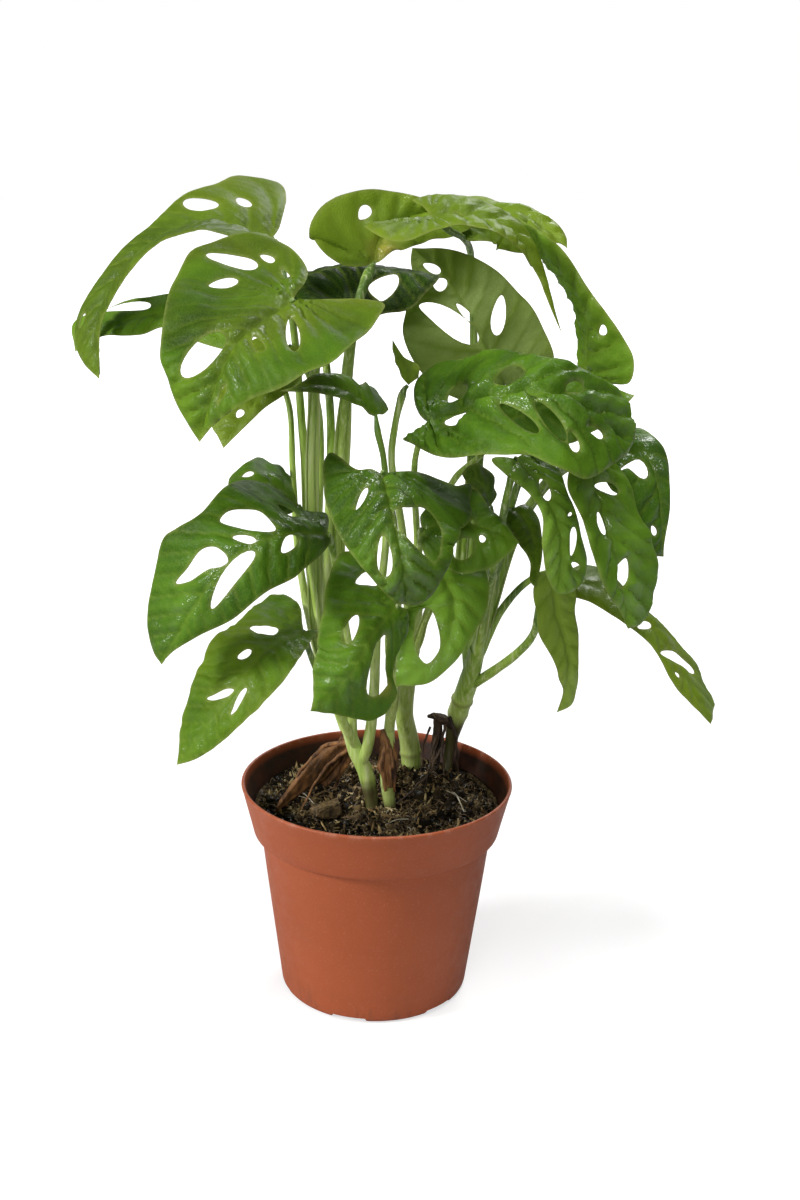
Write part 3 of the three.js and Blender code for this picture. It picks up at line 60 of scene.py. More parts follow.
# A leaf's `rib` runs from its stalk to its tip. `left` and `right` are points of the blade at the
# share `at` along it, seen on the upper face with the tip away. The margins `left_edge` and
# `right_edge`, the slots, openings and spots are in the flat pattern, in hundredths of the rib's
# length: along the rib, and out from it. Slots, openings and spots count that outwards to the right.
# A slot has the two ends of its middle line and its width, and a spot its radius. A spot is
# yellowing, and on leaf_top_middle a painted glow of light let through the blade.
#
# `shade` runs from 0 dark to 1.5 bright. It is partly the leaf's own tone and partly painted light
# and shade: a leaf is painted brighter or darker for how it is lit where it stands. `yellow` is how
# far the leaf has gone to yellow-green, and `tip` the change of that painted shade at its tip.
# `quilt` is how full it stands between its veins, `groove` how deep its midrib lies and `blister`
# how unevenly it stands, in millimetres. `sweep` leans its side veins forward, `wide` spreads them,
# and `wax` is its shine. A `turned` leaf has its upper face on the other side of its pattern.
LEAF_DEFAULTS = dict(
    at=0.27, slots=(), openings=(), spots=(), turned=False, tip=0.0, groove=0.4, blister=0.15,
    sweep=0.0, wide=1.0, wax=1.0,
)
LEAVES = {
    "leaf_top_left_arch": dict(
        tone="pale", shade=0.16, yellow=0.5, quilt=0.8, wax=0.2,
        rib=((-48, 34, 330), (-78, 40, 336), (-106, 34, 321), (-120, 24, 298), (-120, 14, 272)),
        left=(-74, 8, 336), right=(-76, 62, 347),
        left_edge=((-6, 9), (5, 19), (25, 24), (50, 20), (72, 12), (88, 5)),
        right_edge=(
            (0, 8), (7, 29), (14, 40), (21, 40), (25, 29), (31, 21), (43, 12), (59, 10), (71, 12),
            (80, 14), (86, 13), (93, 8),
        ),
        slots=((30, 18, 24, 7, 7), (19, 20, 15, 13, 4), (81, 10, 77, 9, 2)),
    ),
    "leaf_top_left_heart": dict(
        tone="green", shade=0.33, yellow=0.55, quilt=1.5, turned=True, groove=0.9, wax=0.6, tip=0.3,
        rib=((-36, -34, 312), (-55, -54, 299), (-64, -62, 281), (-70, -60, 261)), left=(-84, -36, 302),
        right=(-17, -70, 295),
        left_edge=(
            (-7, 3), (-15, 5), (-27, 13), (-37, 35), (-36, 60), (-18, 75), (9, 73), (37, 55), (56, 43),
            (82, 28), (94, 10),
        ),
        right_edge=((-7, 12), (-17, 34), (-19, 48), (-2, 55), (30, 59), (56, 44), (69, 23), (86, 8)),
        slots=(
            (-5, -67, -17, -41, 13), (-25, -46, -25, -36, 4), (13, -49, 1, -38, 7), (12, 10, 34, 33, 7),
            (71, -22, 41, -10, 17), (36, 6, 43, 18, 5), (76, 6, 67, 6, 3), (-22, -28, -17, -18, 3),
        ),
    ),
    "leaf_far_left": dict(
        tone="green", shade=1.1, yellow=0.3, quilt=0.8, wax=0.4,
        rib=((-67, 10, 297), (-94, 26, 298), (-113, 36, 293), (-134, 38, 280)), left=(-93, 18, 290),
        right=(-96, 38, 306),
        left_edge=((-15, 14), (6, 14), (35, 8), (50, 12), (69, 9), (85, 1), (95, 0)),
        right_edge=((0, 15), (24, 18), (47, 17), (58, 17), (68, 20), (79, 21), (90, 32), (100, 30)),
        slots=((79, 20, 52, 6, 7),),
    ),
    "leaf_under_heart": dict(
        tone="pale", shade=1.1, yellow=0.45, quilt=0.8, turned=True, wax=0.5,
        rib=((-39, -2, 290), (-48, -22, 277), (-55, -32, 265), (-63, -36, 254)), left=(-64, -12, 277),
        right=(-35, -28, 276), left_edge=((-10, 17), (2, 32), (33, 33), (65, 31), (92, 20), (96, 9)),
        right_edge=((1, 17), (27, 24), (47, 22), (64, 10), (81, 4), (90, 2)),
        slots=((76, -6, 69, -5, 6),),
    ),
    "leaf_top_right_arch": dict(
        tone="pale", at=0.5, shade=0.55, yellow=0.55, quilt=1.1, wax=0.4,
        rib=((18, -4, 342), (33, -4, 343), (52, -6, 335), (71, -16, 299)), left=(61, 18, 345),
        right=(46, -26, 333),
        left_edge=((-4, 11), (-9, 22), (3, 28), (14, 21), (26, 20), (37, 15), (53, 12)),
        right_edge=(
            (-12, 3), (-28, 9), (-34, 12), (-26, 28), (-17, 31), (2, 23), (20, 19), (43, 16), (65, 0),
            (85, 0), (95, 0),
        ),
        slots=((-12, -2, -4, -4, 4), (11, -2, 16, 6, 5)),
    ),
    "leaf_top_middle": dict(
        tone="pale", shade=0.85, yellow=0.3, quilt=0.9,
        rib=((-5, 14, 322), (-2, 20, 332), (11, 26, 341), (32, 30, 344)), left=(-17, 16, 345),
        right=(15, 18, 330),
        left_edge=(
            (-6, 7), (-13, 27), (-8, 48), (10, 60), (17, 57), (25, 47), (39, 35), (51, 23), (68, 11),
        ),
        right_edge=((4, 6), (31, 23), (74, 26), (92, 23), (105, 16)), slots=((23, -23, 33, -24, 10),),
        # A painted glow of light let through the blade.
        spots=((10, 10, 16),),
    ),
    "leaf_top_right_drop": dict(
        tone="dark", shade=1.05, yellow=0.35, quilt=1.4, groove=0.8,
        rib=((84, 10, 279), (81, 4, 305), (67, 8, 324), (44, 18, 341)), left=(82, 30, 293),
        right=(95, -14, 298), left_edge=((-3, 8), (10, 16), (35, 18), (60, 13), (85, 5)),
        right_edge=(
            (-4, 4), (-1, 18), (6, 33), (18, 33), (25, 26), (33, 17), (43, 12), (63, 15), (80, 13),
            (95, 7),
        ),
        slots=((24, 10, 27, 15, 4),),
    ),
    "leaf_top_back": dict(
        tone="pale", shade=0.65, yellow=0.6, quilt=1.0, wax=0.5,
        rib=((29, 36, 338), (43, 40, 342), (58, 36, 342), (76, 26, 329)), left=(42, 58, 348),
        right=(47, 18, 329),
        left_edge=((3, 30), (15, 55), (23, 46), (38, 15), (59, 13), (73, 15), (91, 9)),
        right_edge=((-3, 13), (2, 28), (65, 43), (81, 31), (86, 19), (89, 8), (94, 1)),
    ),
    "leaf_middle_back": dict(
        tone="pale", shade=1.4, yellow=0.1, quilt=0.6, tip=-0.5,
        rib=((52, 34, 270), (39, 30, 293), (27, 32, 313), (11, 32, 327)), left=(65, 38, 300),
        right=(8, 26, 294),
        left_edge=((-15, 8), (-16, 26), (-2, 35), (28, 37), (57, 30), (75, 19), (88, 10), (95, 4)),
        right_edge=((-3, 19), (15, 35), (34, 41), (50, 41), (66, 36), (84, 24), (90, 12), (96, 6)),
        slots=(
            (89, 3, 78, 0, 5), (77, 7, 69, 3, 8), (71, 22, 31, 2, 13), (57, 3, 43, -1, 4),
            (49, -24, 28, -10, 9),
        ),
    ),
    "leaf_top_shaded": dict(
        tone="dark", shade=0.1, yellow=0.0, quilt=0.5, wax=0.1,
        rib=((-37, 24, 315), (-18, 27, 320), (2, 22, 319), (23, 14, 318)), left=(-9, 55, 319),
        right=(-12, -1, 303), left_edge=((-8, 12), (10, 27), (30, 30), (55, 22), (80, 10)),
        right_edge=((-7, 9), (-7, 35), (7, 52), (62, 49), (79, 40), (92, 34), (96, 22), (99, 9)),
        openings=(((55, 18), (61, 9), (70, 5), (75, 15), (73, 28), (69, 33), (61, 27)),),
    ),
    "young_leaf_rolled": dict(
        tone="pale", shade=1.35, yellow=0.3, quilt=0.2, wax=0.4,
        rib=((10, 0, 274), (8, -2, 283), (3, -4, 293)), left=(5, 2, 282), right=(13, -8, 284),
        left_edge=((16, 15), (52, 22), (82, 12)),
        right_edge=((27, 37), (41, 48), (51, 27), (63, 7), (83, 2)),
    ),
    "leaf_small_cupped": dict(
        tone="green", shade=0.8, yellow=0.2, quilt=0.7, groove=1.0, tip=-0.9,
        rib=((-3, -24, 266), (-12, -30, 276), (-25, -38, 281), (-40, -44, 279)), left=(-15, -44, 276),
        right=(-11, -12, 280), left_edge=((12, 9), (36, 17), (60, 16), (81, 10)),
        right_edge=((-25, 33), (-53, 94), (-51, 112), (-14, 74), (21, 26), (41, 18), (63, 11), (84, 2)),
    ),
    "leaf_right_large": dict(
        tone="green", shade=0.66, yellow=0.12, quilt=2.2, groove=3.0, sweep=0.7, wax=1.2, wide=1.6,
        rib=((19, -40, 268), (44, -58, 282), (71, -64, 282), (97, -52, 260)), left=(45, -34, 294),
        right=(44, -88, 264),
        left_edge=(
            (-6, 3), (-16, 19), (-19, 33), (-10, 41), (10, 36), (31, 27), (54, 19), (72, 18), (91, 23),
            (99, 12),
        ),
        right_edge=(
            (-3, 3), (-14, 5), (-8, 10), (8, 22), (24, 28), (40, 31), (50, 31), (61, 34), (77, 31),
            (89, 16),
        ),
        slots=(
            (6, -7, 12, -14, 14), (31, -6, 41, -13, 12), (8, 5, 19, 6, 7), (60, -3, 67, -8, 5),
            (47, 2, 49, 5, 2), (35, 6, 52, 21, 5), (49, 6, 63, 22, 6), (64, 17, 69, 24, 5),
            (71, 11, 81, 8, 4),
        ),
    ),
    "leaf_left_large": dict(
        tone="green", shade=0.46, yellow=0.08, quilt=0.9, turned=True, groove=1.0,
        rib=((-21, -40, 221), (-40, -58, 225), (-61, -70, 214), (-86, -64, 173)), left=(-66, -38, 235),
        right=(-43, -72, 206),
        left_edge=(
            (-10, 15), (0, 18), (2, 26), (6, 34), (15, 37), (27, 33), (42, 27), (56, 30), (63, 32),
            (74, 29), (87, 22), (95, 15), (99, 7),
        ),
        right_edge=((-1, 2), (5, 8), (23, 17), (43, 18), (66, 15), (81, 7), (92, 2)),
        slots=((11, -20, 8, -12, 6), (41, -8, 35, -1, 4), (27, 7, 17, 2, 5), (68, 6, 38, 3, 6)),
        openings=(
            ((40, -18), (35, -20), (29, -18), (24, -15), (23, -9), (25, -3), (32, -6), (38, -13)),
            ((72, -15), (64, -14), (54, -14), (49, -10), (48, -2), (50, 0), (57, -5), (66, -9)),
        ),
    ),
    "leaf_left_small": dict(
        tone="green", shade=0.6, yellow=0.15, quilt=0.8, wax=0.5,
        rib=((-34, -14, 226), (-42, -16, 234), (-52, -18, 237), (-62, -20, 233)), left=(-49, -26, 230),
        right=(-49, -8, 243), left_edge=((4, 20), (26, 35), (87, 33), (98, 15)),
        right_edge=((12, 25), (15, 90), (40, 60), (51, 90), (69, 50), (86, 43), (99, 14)),
        slots=((79, 18, 66, 16, 12),),
    ),
    "leaf_lower_left": dict(
        tone="green", shade=0.62, yellow=0.5, quilt=0.7, turned=True, blister=0.9, wax=0.25, tip=-0.1,
        rib=((-31, -34, 178), (-47, -52, 174), (-61, -62, 157), (-81, -58, 128)), left=(-72, -40, 168),
        right=(-40, -66, 165),
        left_edge=(
            (-8, 9), (-24, 27), (-28, 40), (-25, 48), (1, 39), (25, 35), (49, 33), (72, 27), (87, 19),
            (96, 7),
        ),
        right_edge=((-6, 3), (4, 8), (29, 18), (48, 17), (65, 13), (85, 8), (94, 4)),
        slots=((9, -27, 8, -11, 10), (36, -10, 30, -6, 5), (66, -12, 51, 0, 4), (60, 7, 47, 5, 3)),
    ),
    "leaf_centre_heart": dict(
        tone="dark", shade=0.62, yellow=0.08, quilt=1.6, groove=2.4, sweep=0.3, wax=2,
        rib=((0, -60, 251), (4, -78, 240), (8, -88, 224), (11, -84, 204)), left=(30, -66, 232),
        right=(-20, -70, 235),
        left_edge=(
            (-3, 9), (-10, 28), (-11, 49), (-12, 60), (-21, 75), (-5, 71), (47, 50), (88, 37), (98, 24),
            (101, 10),
        ),
        right_edge=(
            (-6, 6), (-11, 15), (-28, 25), (-34, 30), (-25, 37), (-1, 40), (32, 37), (62, 28), (87, 15),
            (96, 7),
        ),
        slots=((49, 9, 77, 12, 9), (22, 22, 8, 12, 5)),
        openings=(
            ((33, -3), (29, -13), (24, -25), (30, -35), (50, -35), (75, -30), (79, -24), (67, -17),
             (53, -7), (44, -2)),
        ),
    ),
    "leaf_front_lower": dict(
        tone="green", shade=0.6, yellow=0.15, quilt=0.8, blister=0.6,
        rib=((7, -58, 197), (-3, -74, 189), (-11, -84, 177), (-26, -82, 161)), left=(0, -80, 158),
        right=(-23, -66, 197),
        left_edge=((-6, 9), (0, 22), (16, 27), (39, 43), (72, 51), (90, 45), (92, 23), (96, 9)),
        right_edge=((-12, 15), (-18, 29), (-26, 49), (-23, 56), (7, 49), (39, 34), (77, 22), (92, 6)),
        slots=((23, 17, 45, 12, 8), (21, -9, 69, -31, 20)),
        openings=(((0, 32), (-15, 32), (-9, 20), (-4, 25)),), spots=((55, -30, 10),),
    ),
    "leaf_front_curled": dict(
        tone="green", shade=1.35, yellow=0.15, quilt=0.8, groove=1.0,
        rib=((24, -36, 206), (30, -46, 194), (25, -56, 178), (7, -58, 163)), left=(44, -36, 196),
        right=(13, -50, 183),
        left_edge=((-4, 15), (4, 35), (20, 29), (31, 23), (46, 15), (64, 12), (82, 11)),
        right_edge=((-1, 7), (4, 16), (10, 29), (77, 38), (85, 23), (94, 10), (98, 4)),
        openings=(((32, 24), (30, 18), (47, 9), (65, 1), (74, 0), (76, 8), (69, 21)),),
    ),
    "leaf_centre_pointed": dict(
        tone="green", shade=0.7, yellow=0.12, quilt=1.0, groove=0.8, wax=0.8,
        rib=((16, -34, 222), (28, -38, 226), (42, -42, 225), (55, -44, 220)), left=(37, -26, 235),
        right=(35, -50, 209), left_edge=((-4, 26), (13, 46), (37, 52), (57, 33), (79, 16)),
        right_edge=((-2, 17), (7, 38), (49, 48), (83, 37), (95, 15)),
        slots=((62, 9, 68, 14, 6), (48, -6, 54, -2, 4)),
        openings=(((35, 27), (43, 16), (56, 14), (60, 22), (54, 33), (41, 35)),),
    ),
    "leaf_shaded_lower": dict(
        tone="dark", shade=0.65, yellow=0.4, quilt=0.6,
        rib=((55, -8, 225), (61, -12, 219), (64, -18, 210), (64, -27, 196)), left=(67, -12, 215),
        right=(53, -16, 217), left_edge=((4, 19), (18, 20), (42, 12), (76, 6)),
        right_edge=((-7, 8), (3, 22), (44, 20), (73, 7), (93, 7)),
    ),
    "leaf_shaded_small": dict(
        tone="dark", shade=0.5, yellow=0.4, quilt=0.5,
        rib=((46, -6, 225), (42, -8, 234), (33, -12, 240)), left=(38, -16, 234), right=(46, 0, 239),
        left_edge=((15, 30), (62, 22), (87, 15)), right_edge=((11, 39), (34, 48), (51, 49), (90, 20)),
    ),
    "leaf_right_narrow": dict(
        tone="green", at=0.5, shade=1.5, yellow=0.3, quilt=1.2, groove=0.8, sweep=0.4, wax=1.5,
        rib=((53, -34, 252), (64, -46, 241), (71, -52, 223), (71, -50, 200)), left=(80, -42, 225),
        right=(63, -56, 228),
        left_edge=((-3, 18), (11, 28), (39, 21), (64, 22), (85, 28), (98, 31), (102, 13)),
        right_edge=((-5, 16), (13, 16), (28, 12), (45, 10), (63, 16), (81, 13), (94, 6)),
        slots=((21, -5, 37, 1, 8), (76, -9, 58, -14, 8), (50, -11, 49, -16, 2), (81, -10, 88, -20, 4)),
    ),
    "leaf_right_hanging": dict(
        tone="green", shade=1.0, yellow=0.18, quilt=1.5, groove=1.2, sweep=0.3, wax=1.5, wide=1.3,
        rib=((82, -30, 250), (88, -38, 233), (94, -44, 213), (102, -40, 183)), left=(111, -22, 221),
        right=(79, -52, 230), left_edge=((-1, 21), (17, 33), (45, 37), (80, 38), (99, 30), (103, 13)),
        right_edge=((4, 19), (14, 25), (28, 22), (47, 21), (64, 18), (84, 7)),
        slots=((29, 5, 42, 5, 8), (59, -8, 73, 2, 11), (14, -1, 19, -18, 7)),
    ),
    "leaf_right_curled": dict(
        tone="green", at=0.5, shade=0.5, yellow=0.05, quilt=1.5, groove=1.2, wax=1.2, wide=1.3,
        rib=((95, 10, 244), (110, 4, 247), (117, -2, 232), (121, -2, 203)), left=(122, 2, 234),
        right=(102, -10, 230), left_edge=((2, 18), (16, 30), (27, 18), (47, 10), (68, 7), (88, 2)),
        right_edge=((2, 17), (9, 39), (67, 27), (83, 25), (94, 17), (98, 6)),
        slots=((11, 19, 44, 9, 12), (75, 19, 84, 16, 5), (76, 10, 83, 7, 4)),
    ),
    "leaf_lower_right": dict(
        tone="pale", at=0.5, shade=0.6, yellow=0.6, quilt=0.7,
        rib=((78, 4, 192), (98, 0, 186), (121, -4, 168), (145, -8, 130)), left=(118, 8, 175),
        right=(103, -16, 176),
        left_edge=((8, 24), (23, 23), (45, 13), (66, 26), (90, 43), (102, 41), (101, 16)),
        right_edge=((4, 9), (17, 11), (35, 13), (52, 11), (69, 13), (85, 7)),
        slots=((41, 9, 46, -2, 4), (57, 9, 82, -25, 7), (69, 7, 72, 5, 2)),
    ),
    "leaf_hanging_pale": dict(
        tone="pale", shade=1.5, yellow=0.15, quilt=0.6,
        rib=((72, -14, 199), (74, -20, 183), (80, -24, 162), (76, -24, 140)), left=(84, -12, 179),
        right=(64, -30, 185), left_edge=((-1, 16), (11, 24), (40, 18), (61, 10), (81, 13), (95, 14)),
        right_edge=((1, 15), (12, 21), (25, 20), (35, 24), (49, 19), (72, 11), (85, 0)),
    ),
    "leaf_right_behind": dict(
        tone="green", shade=0.6, yellow=0.15, quilt=0.8,
        rib=((49, -14, 262), (62, -20, 269), (79, -24, 275), (100, -24, 276)), left=(68, 2, 278),
        right=(70, -40, 259), left_edge=((-17, 38), (-20, 76), (6, 70), (56, 30), (83, 13)),
        right_edge=((1, 15), (24, 33), (48, 38), (72, 31), (91, 12)),
    ),
}

# A shoot's stem runs down from its top, with joints at the heights `nodes` and brown bark below the
# height `bark`; `shaded` is how much darker its stalks and upper stem are painted, a painted shade
# where they stand in shadow. A stalk runs from its stem to its leaf's rib. Its `sheath` is the share
# of it where its pale wings start, where they end, and their width.
SHOOTS = {
    "shoot_front": dict(
        nodes=(94, 100), bark=101,
        stem=((-14, -2, 126), (-10, -4, 114), (-5, -5, 103), (-2, -5, 88), (-1, -5, 74)),
        stem_radii=(2.6, 3.4, 3.4, 2.8, 2.6),
        stalks={
            "leaf_far_left": dict(
                radii=(2.4, 1.4, 1.1),
                points=(
                    (-12, -3, 121), (-26, -2, 156), (-35, 5, 197), (-38, 10, 235), (-40, 9, 265),
                    (-51, 8, 285),
                ),
            ),
            "leaf_top_left_arch": dict(
                radii=(2.6, 1.9, 1.3), sheath=(0.1, 0.6, 1.6),
                points=(
                    (-13, -2, 121), (-25, 2, 155), (-31, 7, 197), (-33, 12, 235), (-35, 10, 265),
                    (-38, 10, 297), (-44, 26, 320),
                ),
            ),
            "leaf_top_left_heart": dict(
                radii=(2.8, 3, 1.7), sheath=(0.08, 0.8, 2.6),
                points=(
                    (-14, -5, 124), (-27, -6, 165), (-29, -6, 200), (-30, -6, 239), (-29, -8, 269),
                    (-28, -14, 289), (-32, -28, 306),
                ),
            ),
            "leaf_under_heart": dict(
                radii=(2.4, 1.6, 1.3), sheath=(0.1, 0.55, 1.4),
                points=(
                    (-12, -1, 120), (-25, 2, 157), (-27, 4, 197), (-26, 4, 237), (-27, 2, 263),
                    (-33, -1, 283),
                ),
            ),
            "leaf_top_shaded": dict(
                radii=(2.4, 2, 1.4),
                points=(
                    (-12, -1, 118), (-15, 3, 128), (-22, 7, 156), (-23, 10, 196), (-22, 14, 235),
                    (-23, 20, 264), (-28, 28, 297),
                ),
            ),
            "leaf_top_middle": dict(
                radii=(2.6, 3, 1.7), sheath=(0.08, 0.72, 2.6),
                points=(
                    (-11, -2, 117), (-14, 6, 127), (-18, 12, 154), (-19, 14, 195), (-18, 13, 235),
                    (-16, 4, 267), (-13, -8, 297), (-9, -4, 314),
                ),
            ),
            "leaf_left_small": dict(
                radii=(2.2, 1.4, 1.1),
                points=((-12, -3, 120), (-24, -8, 163), (-29, -10, 195), (-31, -12, 215)),
            ),
            "leaf_left_large": dict(
                radii=(2.2, 1.5, 1.3),
                points=((-11, -6, 120), (-12, -14, 159), (-17, -26, 193), (-19, -34, 210)),
            ),
            "leaf_lower_left": dict(
                radii=(2.2, 1.4, 1.2),
                points=((-10, -5, 116), (-17, -16, 136), (-25, -26, 156), (-29, -32, 169)),
            ),
            "leaf_small_cupped": dict(
                radii=(2.6, 1.8, 1.1),
                points=(
                    (-7, -5, 107), (-4, -8, 119), (-2, -12, 140), (-1, -18, 178), (2, -22, 214),
                    (1, -24, 244), (-2, -25, 259),
                ),
            ),
        },
    ),
    "shoot_stub": dict(
        nodes=(94, 98), stem=((5, -4, 125), (5, -4, 116), (4, -6, 103), (6, -6, 88), (8, -6, 74)),
        stem_radii=(2.3, 2.7, 2.8, 2.6, 2.4),
        stalks={
            "leaf_centre_heart": dict(
                radii=(2.4, 1.7, 1.3),
                points=((5, -4, 123), (7, -16, 164), (7, -30, 203), (4, -46, 232), (1, -56, 245)),
            ),
            "leaf_front_lower": dict(
                radii=(2.2, 1.5, 1.3), sheath=(0.1, 0.6, 1.2),
                points=((5, -5, 124), (7, -20, 148), (4, -36, 169), (4, -50, 185)),
            ),
        },
    ),
    "shoot_middle": dict(
        nodes=(98,), stem=((14, 14, 159), (13, 20, 138), (12, 26, 119), (15, 32, 101), (17, 34, 77)),
        stem_radii=(3.2, 3.8, 4.2, 4.6, 4.6),
        stalks={
            "young_leaf_rolled": dict(
                radii=(2.2, 1.6, 1.4),
                points=(
                    (14, 14, 154), (12, 8, 179), (9, 4, 211), (4, 2, 240), (5, 1, 257), (8, 0, 271),
                ),
            ),
            "leaf_right_large": dict(
                radii=(2.2, 1.4, 1.2),
                points=((15, 14, 155), (15, 2, 181), (15, -12, 211), (13, -22, 239), (14, -32, 255)),
            ),
            "leaf_right_behind": dict(
                radii=(2.2, 1.5, 1.2),
                points=((15, 16, 153), (18, 8, 184), (24, 4, 218), (31, 6, 234), (41, -2, 246)),
            ),
            "leaf_centre_pointed": dict(
                radii=(2.2, 1.4, 1.1), points=((15, 14, 154), (16, 4, 180), (16, -16, 206)),
            ),
            "leaf_front_curled": dict(
                radii=(2.2, 1.5, 1.2), sheath=(0.1, 0.7, 1.4),
                points=((15, 14, 149), (18, 0, 168), (22, -22, 190)),
            ),
        },
    ),
    "shoot_right": dict(
        nodes=(116, 124), bark=116, shaded=0.7,
        stem=((44, 22, 152), (41, 28, 135), (37, 35, 117), (34, 38, 99), (32, 34, 81)),
        stem_radii=(3.6, 4.6, 4.8, 2.6, 2.0),
        stalks={
            "leaf_right_narrow": dict(
                radii=(2.6, 2, 1.4), sheath=(0.05, 0.5, 1.5),
                points=((44, 22, 149), (46, 4, 181), (48, -18, 209), (50, -30, 233)),
            ),
            "leaf_right_hanging": dict(
                radii=(2.6, 2, 1.3), sheath=(0.05, 0.6, 1.6),
                points=((45, 22, 152), (53, 20, 185), (61, 16, 214), (70, 2, 235), (77, -18, 246)),
            ),
            "leaf_right_curled": dict(
                radii=(2.6, 2, 1.3),
                points=((45, 24, 150), (52, 26, 179), (61, 26, 209), (74, 20, 231), (86, 14, 241)),
            ),
            "leaf_lower_right": dict(
                radii=(2.4, 1.6, 1.3),
                points=((45, 24, 149), (53, 24, 168), (63, 20, 183), (72, 12, 191)),
            ),
            "leaf_hanging_pale": dict(
                radii=(2.4, 1.8, 1.3),
                points=((39, 30, 130), (49, 22, 140), (61, 12, 154), (67, 2, 167), (68, -8, 184)),
            ),
            "leaf_shaded_lower": dict(
                radii=(2.2, 1.4, 1.1),
                points=((44, 22, 149), (49, 18, 177), (52, 8, 204), (53, -2, 218)),
            ),
            "leaf_shaded_small": dict(
                radii=(2, 1.3, 1), points=((43, 22, 149), (45, 18, 176), (46, 8, 204), (46, -2, 219)),
            ),
            "leaf_top_right_drop": dict(
                radii=(2.6, 1.8, 1.4), sheath=(0.05, 0.5, 1.6),
                points=((45, 26, 150), (51, 28, 188), (60, 24, 230), (73, 16, 262)),
            ),
            "leaf_middle_back": dict(
                radii=(2.6, 2, 1.6), sheath=(0.05, 0.6, 1.8),
                points=((43, 26, 146), (40, 32, 186), (43, 46, 224), (45, 54, 250), (48, 47, 262)),
            ),
            "leaf_top_right_arch": dict(
                radii=(2.8, 2.8, 1.5, 1.2), sheath=(0.05, 0.6, 2.4),
                points=(
                    (41, 28, 143), (37, 40, 184), (40, 48, 224), (41, 50, 253), (39, 50, 291),
                    (37, 47, 318), (36, 42, 326), (32, 26, 332), (26, 7, 336),
                ),
            ),
            "leaf_top_back": dict(
                radii=(2.6, 2, 1.3, 1.2),
                points=(
                    (41, 30, 140), (36, 44, 183), (40, 54, 222), (41, 56, 252), (39, 56, 290),
                    (37, 50, 320), (33, 42, 333),
                ),
            ),
        },
    ),
}

# Old dry parts: papery husks along a path, with their half widths and half thicknesses, and thin
# strands that go with them. `dry_sheath` is round the short shoot, `dry_root` lies over the soil.
DRY_PARTS = {
    "dry_sheath": dict(
        husks=(
            dict(points=((2, -6, 124), (4, -7, 115), (4, -8, 106), (6, -9, 98)),
                 widths=(0.8, 2.8, 3.4, 1.3), thicknesses=(0.7, 1.9, 2.0, 0.8)),
            dict(points=((6, -5, 120), (7, -5, 112), (6, -8, 104), (7, -9, 99)),
                 widths=(0.6, 1.8, 2.2, 0.8), thicknesses=(0.5, 1.5, 1.5, 0.5)),
        ),
        strands=(
            dict(points=((3, -8, 118), (2, -10, 108), (4, -11, 97)), radii=(0.7, 1.2, 0.7)),
            dict(points=((7, -5, 116), (7, -8, 106), (8, -9, 96)), radii=(0.8, 1.2, 0.6)),
        ),
    ),
    "dry_root": dict(
        husks=(
            dict(points=((-10, -2, 117), (-16, 4, 111), (-24, 6, 102), (-36, 0, 93), (-44, -8, 86.4)),
                 widths=(1.8, 4.2, 5.4, 3.6, 1.2), thicknesses=(1.2, 1.8, 2.0, 1.6, 0.8)),
            dict(points=((-12, 4, 119), (-16, 9, 109), (-20, 11, 99), (-24, 8, 91)),
                 widths=(1.4, 3.6, 4.6, 2.2), thicknesses=(0.9, 1.6, 1.4, 0.8)),
        ),
        strands=(
            dict(points=((-12, 0, 112), (-19, 2, 106), (-27, -2, 97), (-33, -10, 87)), radii=(0.9, 0.7, 0.3)),
            dict(points=((-11, 2, 114), (-24, 12, 108), (-33, 11, 98), (-41, 6, 86)), radii=(1.2, 1.0, 0.4)),
            dict(points=((-9, 4, 110), (-15, 9, 100), (-19, 12, 88)), radii=(1.5, 1.2, 0.7)),
        ),
    ),
    "aerial_roots": dict(
        husks=(
            dict(points=((23, 26, 118), (26, 29, 117), (31, 31, 114), (34, 32, 110)),
                 widths=(0.7, 1.6, 2.0, 0.8), thicknesses=(0.7, 1.6, 2.0, 0.8)),
            dict(points=((27, 30, 116), (27, 31, 108), (26, 30, 101), (26, 29, 92)),
                 widths=(1.2, 1.7, 1.1, 0.6), thicknesses=(1.2, 1.6, 1.0, 0.6)),
        ),
        strands=(
            dict(points=((24, 25, 119), (28, 31, 113), (28, 33, 104), (28, 31, 86)), radii=(0.7, 1.0, 0.5)),
            dict(points=((31, 31, 104), (28, 28, 98), (24, 20, 93), (17, 6, 90.5), (9, -8, 90)),
                 radii=(0.7, 0.5, 0.35)),
            dict(points=((31, 31, 113), (30, 29, 103), (31, 27, 88)), radii=(0.7, 0.6, 0.3)),
            dict(points=((24, 28, 112), (22, 29, 104), (20, 27, 90)), radii=(0.6, 0.5, 0.3)),
            dict(points=((27, 29, 108), (24, 20, 97), (22, 12, 88)), radii=(0.5, 0.4, 0.25)),
            dict(points=((33, 31, 116), (36, 32, 106), (38, 35, 88)), radii=(0.8, 0.8, 0.4)),
        ),
    ),
}

# Pale rootlets that lie open on the soil, and their radius where they start.
PALE_ROOTLETS = (
    (((-40, 4, 88), (-37, 5, 90), (-32, 1, 89.4), (-27, -7, 88)), 0.4),
    (((-38, 2, 88), (-35, 0, 89.2), (-31, -1, 88.4)), 0.3),
    (((34, 7, 89), (36, 0, 90), (38.5, -12, 88.2)), 0.45),
    (((31, 10, 88.5), (35, 3, 89.8), (40, -2, 88.6)), 0.3),
    (((14, -20, 88), (9, -23, 89), (4, -26, 88)), 0.24),
)

